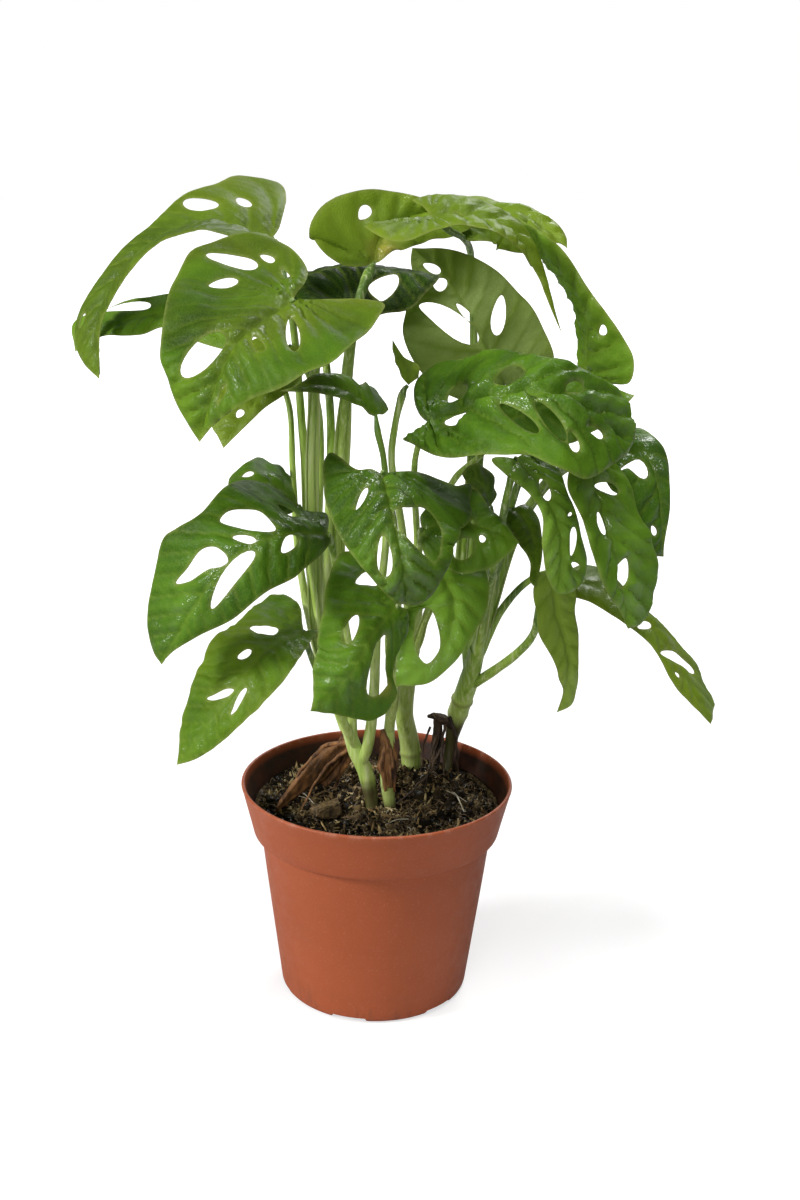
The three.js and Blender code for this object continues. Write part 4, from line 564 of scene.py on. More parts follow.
# Loose bits on the soil: stretch by axis, roughness, smallest and largest size in millimetres, how
# far they tumble in radians, the setting with their number, and their browns from dark to light.
SOIL_BITS = {
    "soil_crumbs": dict(
        stretch=(1, 0.8, 0.7), rough=0.35, sizes=(0.7, 2.4), tumble=3.1, number="crumbs",
        browns=((0.004, 0.0027, 0.0013), (0.013, 0.0085, 0.004), (0.070, 0.048, 0.021),
                (0.27, 0.195, 0.088), (0.55, 0.45, 0.24)),
    ),
    "soil_clods": dict(
        stretch=(1.3, 1, 0.7), rough=0.6, sizes=(2.2, 5.6), tumble=3.1, number="clods",
        browns=((0.005, 0.0034, 0.0016), (0.026, 0.017, 0.008), (0.13, 0.088, 0.038)),
    ),
    "bark_bits": dict(
        stretch=(2.8, 0.5, 0.3), rough=0.4, sizes=(1.2, 3.8), tumble=1.0, number="chips",
        browns=((0.020, 0.012, 0.005), (0.10, 0.062, 0.025), (0.34, 0.23, 0.095), (0.60, 0.46, 0.23)),
    ),
    # Pale grains, partly mineral grains and partly painted glints: pale bits where wet fibres catch light.
    "pale_grains": dict(
        stretch=(1.3, 0.8, 0.6), rough=0.2, sizes=(0.3, 0.9), tumble=3.1, number="grains",
        browns=((0.34, 0.31, 0.24), (0.70, 0.68, 0.60)),
    ),
}
BITS_OF_A_KIND = 9
BIT_CORNERS = 14

# ---------------------------------------------------------------- shapes shared by the pieces


def with_ends(points):
    """The points with one more at each end, in line with the last two."""
    return np.vstack([2 * points[0] - points[1], points, 2 * points[-1] - points[-2]])


def spline(points, count):
    """The curve through the points as count + 1 samples at equal steps of its parameter."""
    points = np.asarray(points, float)
    before = with_ends(points)
    t = np.linspace(0, len(points) - 1, count + 1)
    k = np.minimum(t.astype(int), len(points) - 2)
    w = (t - k)[:, None]
    p0, p1, p2, p3 = (before[k + i] for i in range(4))
    return 0.5 * (
        2 * p1
        + (p2 - p0) * w
        + (2 * p0 - 5 * p1 + 4 * p2 - p3) * w**2
        + (3 * p1 - p0 - 3 * p2 + p3) * w**3
    )


def rounded(points, spacing, closed=False):
    """A smooth line through the points that stays close to them, sampled at about that spacing."""
    points = np.asarray(points, float)
    ring = np.vstack([points[-1], points, points[0], points[1]]) if closed else with_ends(points)
    out = []
    for p0, p1, p2, p3 in zip(ring, ring[1:], ring[2:], ring[3:]):
        a, b, c = (max(np.linalg.norm(v), 1e-6) ** 0.5 for v in (p1 - p0, p2 - p1, p3 - p2))
        m1 = b * ((p1 - p0) / a - (p2 - p0) / (a + b)) + p2 - p1
        m2 = b * ((p3 - p2) / c - (p3 - p1) / (b + c)) + p2 - p1
        steps = max(2, round(np.linalg.norm(p2 - p1) / spacing))
        s = np.linspace(0, 1, steps, endpoint=False)[:, None]
        out.append(
            (2 * s**3 - 3 * s**2 + 1) * p1
            + (s**3 - 2 * s**2 + s) * m1
            + (3 * s**2 - 2 * s**3) * p2
            + (s**3 - s**2) * m2
        )
    return np.vstack(out if closed else [*out, points[-1:]])


def lengths(points):
    """Length of a polyline up to each of its points."""
    return np.concatenate([[0], np.cumsum(np.linalg.norm(np.diff(points, axis=0), axis=1))])


def along(x, cum, values):
    """Rows of `values`, which stand at the lengths `cum`, at the lengths x."""
    x = np.clip(x, 0, cum[-1])
    return np.stack([np.interp(x, cum, values[:, i]) for i in range(values.shape[1])], -1)


def even(points, spacing):
    """A polyline's points again, at equal steps of about that spacing."""
    cum = lengths(points)
    count = max(3, round(cum[-1] / spacing))
    return along(np.linspace(0, cum[-1], count + 1), cum, points)


def tapered(points, radii, spacing=1.6):
    """A smooth path through the points, its radii, which run along it evenly, and shares of it."""
    path = even(spline(points, 30 * len(points)), spacing)
    share = lengths(path) / lengths(path)[-1]
    return path, np.interp(share, np.linspace(0, 1, len(radii)), radii), share


def unit(v):
    """The vectors at length 1."""
    return v / np.linalg.norm(v, axis=-1, keepdims=True)


def square_to(ahead, v):
    """Unit vectors along v, less what points along the unit vectors `ahead`."""
    return unit(v - ahead * (v * ahead).sum(-1, keepdims=True))


def rise(values, start, span):
    """0 up to the start, 1 from a span further on, and even between them."""
    return np.clip((values - start) / span, 0, 1)


def bell(values, width):
    """1 at 0, and next to nothing two widths away."""
    return np.exp(-((values / width) ** 2))


def noise_at(points, scale, shift=0):
    """Smooth noise about 0 at each of the points."""
    return np.array([noise.noise(Vector(p * scale + shift)) for p in points])


def inside(points, loop):
    """Which of the points lie inside a closed loop."""
    x, y = points[:, 0][:, None], points[:, 1][:, None]
    x1, y1 = loop[:, 0], loop[:, 1]
    x2, y2 = np.roll(x1, -1), np.roll(y1, -1)
    rise_to_next = np.where(y2 == y1, 1e-12, y2 - y1)
    crosses = ((y1 > y) != (y2 > y)) & (x < (x2 - x1) * (y - y1) / rise_to_next + x1)
    return crosses.sum(axis=1) % 2 == 1


def in_blade(points, margin, holes):
    """Which of the points lie inside the margin and in none of the holes."""
    kept = inside(points, margin)
    for hole in holes:
        kept &= ~inside(points, hole)
    return kept


def room_to(points, loops):
    """Distance from each point to the nearest of the closed loops."""
    best = np.full(len(points), np.inf)
    for loop in loops:
        for a, b in zip(loop, np.roll(loop, -1, axis=0)):
            d = b - a
            t = np.clip(((points - a) @ d) / max(d @ d, 1e-12), 0, 1)
            best = np.minimum(best, np.linalg.norm(points - a - t[:, None] * d, axis=1))
    return best


def vertex_normals(points, faces):
    """Unit normals of a mesh of triangles at its points."""
    a, b, c = (points[faces[:, i]] for i in range(3))
    normal = np.zeros_like(points)
    for i in range(3):
        np.add.at(normal, faces[:, i], np.cross(b - a, c - a))
    return unit(normal)


def open_edges(faces):
    """The directed edges that only one of the triangles has."""
    sides = {(face[i], face[(i + 1) % 3]): True for face in faces for i in range(3)}
    return [(a, b) for a, b in sides if (b, a) not in sides]


def around(count):
    """Each number round a ring, with the next one."""
    return [(k, (k + 1) % count) for k in range(count)]


def circle(radius, count):
    """Points (x, y) round the Z axis."""
    angles = [2 * math.pi * k / count for k in range(count)]
    return [(radius * math.cos(a), radius * math.sin(a)) for a in angles]


def arc(centre, radius, start, end, steps):
    """Points of an arc in a profile's plane, angles in degrees."""
    angles = np.radians(np.linspace(start, end, steps))
    return [(centre[0] + radius * math.cos(a), centre[1] + radius * math.sin(a)) for a in angles]


def lathe(profile, segments):
    """Vertices and faces of a profile of (radius, height) points turned about Z; closed at radius 0."""
    vertices, faces, rings = [], [], []
    for radius, z in profile:
        start = len(vertices)
        rings.append([start + k if radius else start for k in range(segments)])
        vertices += [(x, y, z) for x, y in circle(radius, segments)] if radius else [(0, 0, z)]
    for low, high in zip(rings, rings[1:]):
        for k, n in around(segments):
            faces.append(tuple(dict.fromkeys((low[k], low[n], high[n], high[k]))))
    return vertices, faces


def skin(first, rings, count):
    """Faces of a closed tube of rings that have `count` vertices each, from vertex `first` on."""
    last = first + (rings - 1) * count
    faces = [tuple(range(first, first + count))[::-1], tuple(range(last, last + count))]
    for low in range(first, last, count):
        faces += [(low + k, low + n, low + n + count, low + k + count) for k, n in around(count)]
    return faces


def joined_shapes(shapes):
    """Several (vertices, faces) as one."""
    vertices, faces = [], []
    for more, rims in shapes:
        faces += [[index + len(vertices) for index in face] for face in rims]
        vertices += list(more)
    return vertices, faces


def link(name, mesh):
    """An object of the mesh at the origin of the scene."""
    piece = bpy.data.objects.new(name, mesh)
    bpy.context.scene.collection.objects.link(piece)
    return piece


def new_piece(name, vertices, faces, materials, face_materials=None):
    """A smooth mesh object at the origin from coordinates in millimetres."""
    mesh = bpy.data.meshes.new(name)
    mesh.from_pydata((np.asarray(vertices) * MM).tolist(), [], faces)
    for material in materials:
        mesh.materials.append(material)
    if face_materials is not None:
        mesh.polygons.foreach_set("material_index", face_materials)
    mesh.polygons.foreach_set("use_smooth", [True] * len(mesh.polygons))
    mesh.validate()
    mesh.update()
    return link(name, mesh)


def evaluated_mesh(piece):
    """A plain mesh of the object with its modifiers applied."""
    graph = bpy.context.evaluated_depsgraph_get()
    return bpy.data.meshes.new_from_object(piece.evaluated_get(graph), depsgraph=graph)


def closed_outward(piece):
    """Turns the faces of a closed mesh outward."""
    shape = bmesh.new()
    shape.from_mesh(piece.data)
    bmesh.ops.recalc_face_normals(shape, faces=shape.faces)
    shape.to_mesh(piece.data)
    shape.free()
    return piece


def taken_out(shape):
    """Vertices and faces of a bmesh, which is then freed."""
    shape.verts.index_update()
    out = [tuple(v.co) for v in shape.verts], [[v.index for v in f.verts] for f in shape.faces]
    shape.free()
    return out


def add_values(piece, name, values):
    """A number for each vertex of the piece, for its materials to read."""
    layer = piece.data.attributes.new(name, "FLOAT", "POINT")
    layer.data.foreach_set("value", np.asarray(values, np.float32))


def settle(piece, *nodes, slot):
    """The piece rides on the plant's one body and stands for these frame nodes."""
    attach(piece, "root")
    if nodes:
        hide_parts(*nodes)

# ---------------------------------------------------------------- materials


class Nodes:
    """A node tree under construction."""

    def __init__(self, tree):
        self.tree = tree

    def add(self, kind, inputs=(), **settings):
        """A new node with its settings, and its inputs set to values or linked to sockets."""
        node = self.tree.nodes.new(kind)
        for key, value in settings.items():
            setattr(node, key, value)
        for key, value in dict(inputs).items():
            self.put(node.inputs[key], value)
        return node

    def put(self, socket, value):
        """Links a socket to another, or sets its value."""
        if isinstance(value, bpy.types.NodeSocket):
            self.tree.links.new(value, socket)
        else:
            socket.default_value = value

    def out(self, kind, inputs=(), output=0, **settings):
        """One output of a new node."""
        return self.add(kind, inputs, **settings).outputs[output]

    def plus(self, a, b):
        return self.out("ShaderNodeMath", {0: a, 1: b}, operation="ADD")

    def times(self, a, b):
        return self.out("ShaderNodeMath", {0: a, 1: b}, operation="MULTIPLY")


class Look(Nodes):
    """A procedural material under construction; its patterns' scales are in cycles per metre."""

    def __init__(self, name):
        self.material = bpy.data.materials.new(name)
        self.material.use_nodes = True
        super().__init__(self.material.node_tree)
        self.tree.nodes.clear()
        self.place = self.out("ShaderNodeTexCoord", output="Object")

    def values(self, name):
        """The numbers that add_values wrote on the piece."""
        return self.out("ShaderNodeAttribute", output="Fac", attribute_name=name)

    def noise(self, scale, detail=3.0, roughness=0.55, place=None):
        """Cloudy noise about 0.5."""
        inputs = {"Vector": place or self.place, "Scale": scale, "Detail": detail}
        return self.out("ShaderNodeTexNoise", {**inputs, "Roughness": roughness}, "Fac")

    def streaks(self, scales, detail, roughness):
        """Noise with a scale of its own along each axis."""
        place = self.out("ShaderNodeMapping", {"Vector": self.place, "Scale": scales})
        return self.noise(1.0, detail, roughness, place)

    def range(self, value, low, high, to_low=0.0, to_high=1.0):
        """The value with its part from low to high spread from to_low to to_high."""
        numbers = {"From Min": low, "From Max": high, "To Min": to_low, "To Max": to_high}
        return self.out("ShaderNodeMapRange", {"Value": value, **numbers})

    def ramp(self, value, *stops):
        """A colour for the value, from (position, colour) stops."""
        node = self.add("ShaderNodeValToRGB", {"Fac": value})
        elements = node.color_ramp.elements
        while len(elements) < len(stops):
            elements.new(0.5)
        for element, (position, colour) in zip(elements, stops):
            element.position = position
            element.color = (*colour, 1)
        return node.outputs["Color"]

    def mixed(self, share, a, b, blend="MIX"):
        """Colour a turned into colour b by a share."""
        node = self.add("ShaderNodeMix", data_type="RGBA", blend_type=blend)
        for key, value in ((0, share), (6, a), (7, b)):
            if isinstance(value, tuple):
                value = (*value, 1)
            self.put(node.inputs[key], value)
        return node.outputs[2]

    def bump(self, height, depth):
        """A surface normal for a height between 0 and 1 that stands `depth` millimetres high."""
        return self.out("ShaderNodeBump", {"Height": height, "Distance": depth * MM, "Strength": 1.0})

    def finish(self, colour, roughness, normal=None, glow=None, **sockets):
        """Sets the shader, with `glow` = (share, colour) of light let through a thin blade."""
        sockets = {"Base Color": colour, "Roughness": roughness, **sockets}
        if normal:
            sockets["Normal"] = normal
        inputs = {key.replace("_", " "): value for key, value in sockets.items()}
        shader = self.out("ShaderNodeBsdfPrincipled", inputs)
        if glow:
            through = self.out("ShaderNodeBsdfTranslucent", {"Color": glow[1]})
            shader = self.out("ShaderNodeMixShader", {0: glow[0], 1: shader, 2: through})
        self.add("ShaderNodeOutputMaterial", {"Surface": shader})
        return self.material

    def damp(self, colour, grain, normal, wet):
        """Finishes dull earth whose `wet` spots shine."""
        return self.finish(
            colour, self.range(grain, 0.3, 0.7, 0.8, 0.95), normal, Specular_IOR_Level=0.1,
            Coat_Weight=wet, Coat_Roughness=0.07, Coat_Normal=normal,
        )


# Greens of each tone of leaf, from dark to bright at equal steps, and of its underside, with the
# gloss and the share of light let through that the upper and the under face have. The dark tone
# and the darker steps also serve as painted shade on leaves that stand in shadow, and the brightest
# step as painted light on leaves that get little light.
LEAF_TONES = {
    "green": dict(
        upper=((0.012, 0.042, 0.002), (0.046, 0.130, 0.005), (0.105, 0.240, 0.010), (0.19, 0.38, 0.035)),
        under=((0.052, 0.100, 0.009), (0.110, 0.190, 0.018), (0.190, 0.290, 0.032), (0.34, 0.45, 0.09)),
        gloss=(0.9, 0.08), through=(0.2, 0.36),
    ),
    "pale": dict(
        upper=((0.050, 0.100, 0.005), (0.105, 0.190, 0.009), (0.180, 0.290, 0.016), (0.32, 0.46, 0.06)),
        under=((0.068, 0.115, 0.011), (0.140, 0.215, 0.024), (0.260, 0.350, 0.055), (0.52, 0.64, 0.22)),
        gloss=(0.6, 0.08), through=(0.22, 0.4),
    ),
    "dark": dict(
        upper=((0.004, 0.015, 0.001), (0.024, 0.078, 0.003), (0.085, 0.200, 0.010), (0.17, 0.35, 0.03)),
        under=((0.040, 0.075, 0.008), (0.080, 0.135, 0.015), (0.130, 0.190, 0.025), (0.26, 0.35, 0.07)),
        gloss=(0.8, 0.08), through=(0.16, 0.3),
    ),
}
# How far the net, the veins and the yellow rim show on the upper and on the under face. The rim is
# partly the margin's own pale edge and partly a painted highlight along margins and holes.
NET_SHARES = (0.16, 0.24)
VEIN_SHARES = (0.42, 0.6)
RIM_AND_HIGHLIGHT_SHARE = 0.4
BRIGHTEST_SHADE = 1.5
YELLOWING_AND_GLOW_SPOT = (0.42, 0.36, 0.06)
RIM_YELLOW_AND_HIGHLIGHT = (0.30, 0.33, 0.09)
FLECK_BROWN = (0.16, 0.13, 0.05)
LIGHT_THROUGH = (0.20, 0.42, 0.008)


def leaf_material(tone, face, settings):
    """A leaf's upper or under face: mottled green, paler veins and a fine net between them."""
    greens, side = LEAF_TONES[tone], ("upper", "under").index(face)
    vein_green = tuple(settings.veins)
    look = Look(f"leaf_{tone}_{face}")
    mottle = look.range(look.noise(38, 4), 0.3, 0.7, -0.32, 0.32)
    # Painted light and shade: `shade` is partly the leaf's own tone and partly how it is lit.
    shade = look.times(look.plus(look.values("shade"), mottle), 1 / BRIGHTEST_SHADE)
    colour = look.ramp(shade, *zip((0, 1 / 3, 2 / 3, 1), greens[face]))
    yellow = look.times(look.range(look.noise(16, 2), 0.35, 0.75, 0.1, 0.75), look.values("yellow"))
    colour = look.mixed(yellow, colour, tuple(settings.yellowing))
    # Yellow spots: yellowing, and on leaf_top_middle a painted glow of light let through the blade.
    spots = look.times(look.values("spot"), look.range(look.noise(120), 0.3, 0.7, 0.4, 1))
    colour = look.mixed(spots, colour, YELLOWING_AND_GLOW_SPOT)
    inputs = {"Vector": look.place, "Scale": 750}
    net = look.out("ShaderNodeTexVoronoi", inputs, "Distance", feature="DISTANCE_TO_EDGE")
    colour = look.mixed(look.range(net, 0.0, 0.12, NET_SHARES[side], 0.0), colour, vein_green)
    colour = look.mixed(look.times(look.values("vein"), VEIN_SHARES[side]), colour, vein_green)
    # The pale rim: the margin's own edge and a painted highlight along it.
    colour = look.mixed(look.times(look.values("rim"), RIM_AND_HIGHLIGHT_SHARE), colour, RIM_YELLOW_AND_HIGHLIGHT)
    colour = look.mixed(look.range(look.noise(900, 2), 0.72, 0.8, 0.0, 0.35), colour, FLECK_BROWN)
    roughness = look.range(look.noise(60, 3), 0.3, 0.7, 0.42, 0.55)
    normal = look.bump(look.plus(look.range(net, 0.0, 0.2), look.noise(260, 3)), 0.06)
    glow = look.mixed(0.6, colour, LIGHT_THROUGH, "SCREEN")
    wax = look.times(look.range(look.noise(110, 4), 0.42, 0.58, 0.1, 1.0), look.values("sheen"))
    return look.finish(
        colour, roughness, normal, (greens["through"][side], glow), Specular_IOR_Level=0.12,
        Coat_Weight=look.times(wax, greens["gloss"][side]), Coat_Roughness=0.16, Coat_Normal=normal,
    )


# Greens of a stalk from its foot to its leaf, and of its streaks.
STALK_GREENS = (
    (0.0, (0.50, 0.63, 0.17)), (0.35, (0.45, 0.62, 0.12)), (0.7, (0.30, 0.46, 0.06)),
    (1.0, (0.085, 0.175, 0.016)),
)
PALE_STREAK = (0.74, 0.80, 0.42)
DARK_STREAK = (0.10, 0.19, 0.020)
RING_BROWN = (0.13, 0.075, 0.025)
FOOT_BARK = (0.050, 0.028, 0.012)


def stalk_material():
    """Leaf stalks and stems: pale green, streaked along, darker near the leaves with painted shade on
    shaded stalks and their ends, brown at the foot.
    """
    look = Look("stalk_green")
    streaks = look.streaks((700, 700, 22), 4, 0.6)
    broad = look.streaks((90, 90, 18), 2, 0.5)
    # `along` darkens towards the leaves and carries the painted shade of shaded stalks and stalk ends.
    tone = look.plus(look.range(broad, 0.3, 0.7, -0.25, 0.25), look.values("along"))
    colour = look.ramp(tone, *STALK_GREENS)
    colour = look.mixed(look.range(streaks, 0.5, 0.66, 0.0, 0.6), colour, PALE_STREAK)
    colour = look.mixed(look.range(streaks, 0.46, 0.3, 0.0, 0.5), colour, DARK_STREAK)
    colour = look.mixed(look.times(look.values("node"), 0.45), colour, RING_BROWN)
    foot = look.values("foot")
    colour = look.mixed(look.times(foot, look.range(broad, 0.2, 0.8, 0.8, 1.0)), colour, FOOT_BARK)
    through = look.mixed(foot, (0.3, 0.42, 0.06), (0.020, 0.010, 0.004))
    roughness = look.range(broad, 0.3, 0.7, 0.34, 0.5)
    return look.finish(colour, roughness, look.bump(streaks, 0.25), (0.1, through))


def sheath_material():
    """The thin wings along a stalk, nearly clear at their edges."""
    look = Look("stalk_sheath")
    streaks = look.streaks((700, 700, 30), 3, 0.6)
    colour = look.ramp(
        look.plus(look.values("edge"), look.range(streaks, 0.3, 0.7, -0.2, 0.2)),
        (0.0, (0.22, 0.36, 0.05)), (0.6, (0.48, 0.60, 0.18)), (1.0, (0.74, 0.78, 0.44)),
    )
    roughness = look.range(streaks, 0.3, 0.7, 0.32, 0.48)
    return look.finish(colour, roughness, look.bump(streaks, 0.15), (0.3, (0.5, 0.6, 0.16, 1)))


def dry_material(name, dark, light, depth):
    """Dry sheaths and roots: fibrous, with darker patches."""
    look = Look(name)
    fibres = look.streaks((330, 330, 110), 5, 0.6)
    patches = look.noise(95, 4)
    colour = look.mixed(look.range(fibres, 0.35, 0.65), dark, light)
    colour = look.mixed(look.range(patches, 0.5, 0.75, 0.0, 0.8), colour, tuple(c * 0.35 for c in dark))
    roughness = look.range(patches, 0.3, 0.7, 0.6, 0.85)
    return look.finish(colour, roughness, look.bump(fibres, depth))


SPECKLE = (0.55, 0.24, 0.14)
FLOW_MARK = (0.27, 0.07, 0.03)
FOOT_SCUFF = (0.10, 0.045, 0.025)
RIM_DUST = (0.62, 0.36, 0.26)
# Painted shade: near black over the inside of the pot's wall.
INNER_PAINTED_SHADE = (0.020, 0.009, 0.005)
# Heights in metres: up to where the foot is scuffed, and where the rim's dust starts and is full.
SCUFF_TOP = 0.016
DUST_HEIGHTS = (0.0955, 0.0975)


def pot_material(settings):
    """Moulded plastic: faint speckle and flow marks, scuffs round the foot, a dusty rim, and painted
    shade over its inner side.
    """
    look = Look("pot_plastic")
    shares = look.range(look.noise(14, 3), 0.3, 0.7)
    colour = look.mixed(shares, tuple(settings.plastic), tuple(settings.light_plastic))
    speckle = look.noise(1400, 2)
    colour = look.mixed(look.range(speckle, 0.6, 0.72, 0.0, 0.3), colour, SPECKLE)
    rings = look.streaks((12, 12, 420), 2, 0.5)
    colour = look.mixed(look.range(rings, 0.5, 0.75, 0.0, 0.12), colour, FLOW_MARK)
    height = look.out("ShaderNodeSeparateXYZ", {0: look.place}, "Z")
    scuffs = look.streaks((260, 260, 60), 5, 0.7)
    low = look.times(look.range(height, 0.0, SCUFF_TOP, 1.0, 0.0), look.range(scuffs, 0.52, 0.66))
    colour = look.mixed(look.times(low, 0.5), colour, FOOT_SCUFF)
    rim = look.times(look.range(height, *DUST_HEIGHTS), look.range(scuffs, 0.5, 0.7))
    colour = look.mixed(look.times(rim, 0.35), colour, RIM_DUST)
    # Painted shade: the inside of the wall painted near black, as in the soil's shadow.
    inner_shade = look.times(look.values("inner"), look.range(look.noise(90, 5, 0.7), 0.35, 0.6, 0.86, 1.0))
    colour = look.mixed(inner_shade, colour, INNER_PAINTED_SHADE)
    roughness = look.range(look.noise(160, 4), 0.3, 0.7, 0.42, 0.58)
    ripple = look.plus(look.times(rings, 0.5), look.times(speckle, 0.3))
    return look.finish(colour, roughness, look.bump(ripple, 0.05), Specular_IOR_Level=0.35)


def soil_material():
    """Moist potting soil: near black, with brown fibres and wet glints."""
    look = Look("soil")
    crumbs = look.noise(520, 6, 0.75)
    colour = look.ramp(
        look.plus(crumbs, look.range(look.noise(60, 4), 0.3, 0.7, -0.15, 0.15)),
        (0.38, (0.005, 0.0033, 0.0016)), (0.50, (0.032, 0.021, 0.010)),
        (0.60, (0.13, 0.088, 0.040)), (0.70, (0.30, 0.215, 0.105)),
    )
    wet = look.range(look.noise(300, 3), 0.54, 0.62)
    return look.damp(colour, crumbs, look.bump(crumbs, 1.3), wet)


def crumb_material(name, browns):
    """Loose bits on the soil, each of its own brown, with damp spots that shine."""
    look = Look(name)
    grain = look.noise(650, 5, 0.65)
    tone = look.plus(look.values("tint"), look.range(grain, 0.3, 0.7, -0.2, 0.2))
    tone = look.plus(tone, look.range(look.noise(55, 3), 0.35, 0.65, -0.35, 0.2))
    colour = look.ramp(tone, *zip(np.linspace(0, 1, len(browns)) ** 0.7, browns))
    wet = look.range(look.noise(260, 2), 0.54, 0.62)
    return look.damp(colour, grain, look.bump(grain, 0.6), wet)


def floor_material():
    """A plain pale floor that fades to white in the camera's view, away from the pot."""
    look = Look("studio_floor")
    far = look.out("ShaderNodeVectorMath", {0: look.place}, "Value", operation="LENGTH")
    pale = look.mixed(look.range(look.noise(3, 2), 0.3, 0.7), (0.44, 0.44, 0.44), (0.46, 0.46, 0.46))
    seen = look.out("ShaderNodeLightPath", output="Is Camera Ray")
    shine = look.times(seen, look.range(far, 0.25, 1.1, 0.62, 1.1))
    return look.finish(pale, 0.9, Emission_Color=(1, 1, 1, 1), Emission_Strength=shine)


# ---------------------------------------------------------------- node trees


class Tree(Nodes):
    """A Geometry Nodes tree under construction, with named inputs and a material."""

    def __init__(self, name, inputs):
        super().__init__(bpy.data.node_groups.new(name, "GeometryNodeTree"))
        face = self.tree.interface
        face.new_socket("Geometry", in_out="INPUT", socket_type="NodeSocketGeometry")
        self.keys = {}
        for label, kind, value in (*inputs, ("Material", "Material", None)):
            socket = face.new_socket(label, in_out="INPUT", socket_type="NodeSocket" + kind)
            if value is not None:
                socket.default_value = value
            self.keys[label] = socket.identifier
        face.new_socket("Geometry", in_out="OUTPUT", socket_type="NodeSocketGeometry")
        self.entry = self.add("NodeGroupInput").outputs

    def end(self, shape):
        """Closes the tree: real geometry in the material that the tree is given."""
        real = self.out("GeometryNodeRealizeInstances", {"Geometry": shape})
        inputs = {"Geometry": real, "Material": self.entry["Material"]}
        dressed = self.out("GeometryNodeSetMaterial", inputs)
        self.add("NodeGroupOutput", {0: dressed})
        return self

    def run(self, source, name, **inputs):
        """A plain mesh object of what the tree makes of the source, which is then removed."""
        modifier = source.modifiers.new(name, "NODES")
        modifier.node_group = self.tree
        for label, value in inputs.items():
            modifier[self.keys[label.capitalize()]] = value
        mesh = evaluated_mesh(source)
        bpy.data.objects.remove(source)
        mesh.name = name
        return link(name, mesh)


def tube_tree():
    """Round tubes along the edges of a mesh, as thick as its `radius` values, a little uneven."""
    t = Tree("tubes_along_paths", (("Sides", "Int", 12), ("Uneven", "Float", 0.0), ("Grain", "Float", 200.0)))
    curve = t.out("GeometryNodeMeshToCurve", {"Mesh": t.entry["Geometry"]})
    radius = t.out("GeometryNodeInputNamedAttribute", {"Name": "radius"})
    curve = t.out("GeometryNodeSetCurveRadius", {"Curve": curve, "Radius": radius})
    inputs = {"Resolution": t.entry["Sides"], "Radius": 1.0}
    circles = t.out("GeometryNodeCurvePrimitiveCircle", inputs)
    inputs = {"Curve": curve, "Profile Curve": circles, "Scale": radius, "Fill Caps": True}
    tube = t.out("GeometryNodeCurveToMesh", inputs)
    bumps = t.out("ShaderNodeTexNoise", {"Scale": t.entry["Grain"], "Detail": 2.0}, "Fac")
    height = t.times(t.plus(bumps, -0.5), t.entry["Uneven"])
    inputs = {0: t.out("GeometryNodeInputNormal"), "Scale": height}
    offset = t.out("ShaderNodeVectorMath", inputs, operation="SCALE")
    tube = t.out("GeometryNodeSetPosition", {"Geometry": tube, "Offset": offset})
    return t.end(t.out("GeometryNodeSetShadeSmooth", {"Geometry": tube}))


HALF_TURN = 3.1416
TINT_SEED = 7


def scatter_tree():
    """Copies of the bits in a collection, strewn over a surface."""
    t = Tree(
        "bits_on_soil",
        (("Bits", "Collection", None), ("Density", "Float", 1.0), ("Smallest", "Float", 0.5),
         ("Largest", "Float", 1.5), ("Tumble", "Float", 3.14), ("Seed", "Int", 1)),
    )
    tumble, seed = t.entry["Tumble"], t.entry["Seed"]
    inputs = {"Mesh": t.entry["Geometry"], "Density": t.entry["Density"], "Seed": seed}
    spread = t.add("GeometryNodeDistributePointsOnFaces", inputs).outputs
    inputs = {"Collection": t.entry["Bits"], "Separate Children": True, "Reset Children": True}
    bits = t.out("GeometryNodeCollectionInfo", inputs)
    lean = t.times(tumble, -1.0)
    low = t.out("ShaderNodeCombineXYZ", {0: lean, 1: lean, 2: -HALF_TURN})
    high = t.out("ShaderNodeCombineXYZ", {0: tumble, 1: tumble, 2: HALF_TURN})
    # A Random Value node has the inputs 0 and 1 for vectors, 2 and 3 for numbers, and 8 for its seed.
    turn = t.out("FunctionNodeRandomValue", {0: low, 1: high, 8: seed}, data_type="FLOAT_VECTOR")
    inputs = {"Rotation": spread["Rotation"], "Rotate By": turn}
    turned = t.out("FunctionNodeRotateRotation", inputs, rotation_space="LOCAL")
    inputs = {2: t.entry["Smallest"], 3: t.entry["Largest"], 8: seed}
    size = t.out("FunctionNodeRandomValue", inputs, 1, data_type="FLOAT")
    inputs = {"Points": spread["Points"], "Instance": bits, "Pick Instance": True}
    inputs |= {"Rotation": turned, "Scale": size}
    placed = t.out("GeometryNodeInstanceOnPoints", inputs)
    tint = t.out("FunctionNodeRandomValue", {2: 0.0, 3: 1.0, 8: TINT_SEED}, 1, data_type="FLOAT")
    inputs = {"Geometry": placed, "Name": "tint", "Value": tint}
    return t.end(
        t.out("GeometryNodeStoreNamedAttribute", inputs, data_type="FLOAT", domain="INSTANCE")
    )


def path_mesh(name, paths):
    """A mesh of edges along paths, each (points, radii, {other values}), in millimetres."""
    vertices, edges, values = [], [], {}
    for points, radii, others in paths:
        start = len(vertices)
        vertices += [tuple(p * MM) for p in points]
        edges += [(start + i, start + i + 1) for i in range(len(points) - 1)]
        for key, numbers in {"radius": radii * MM, **others}.items():
            values.setdefault(key, []).extend(numbers)
    mesh = bpy.data.meshes.new(name)
    mesh.from_pydata(vertices, edges, [])
    source = link(name, mesh)
    for key, numbers in values.items():
        add_values(source, key, numbers)
    return source


# ---------------------------------------------------------------- leaves

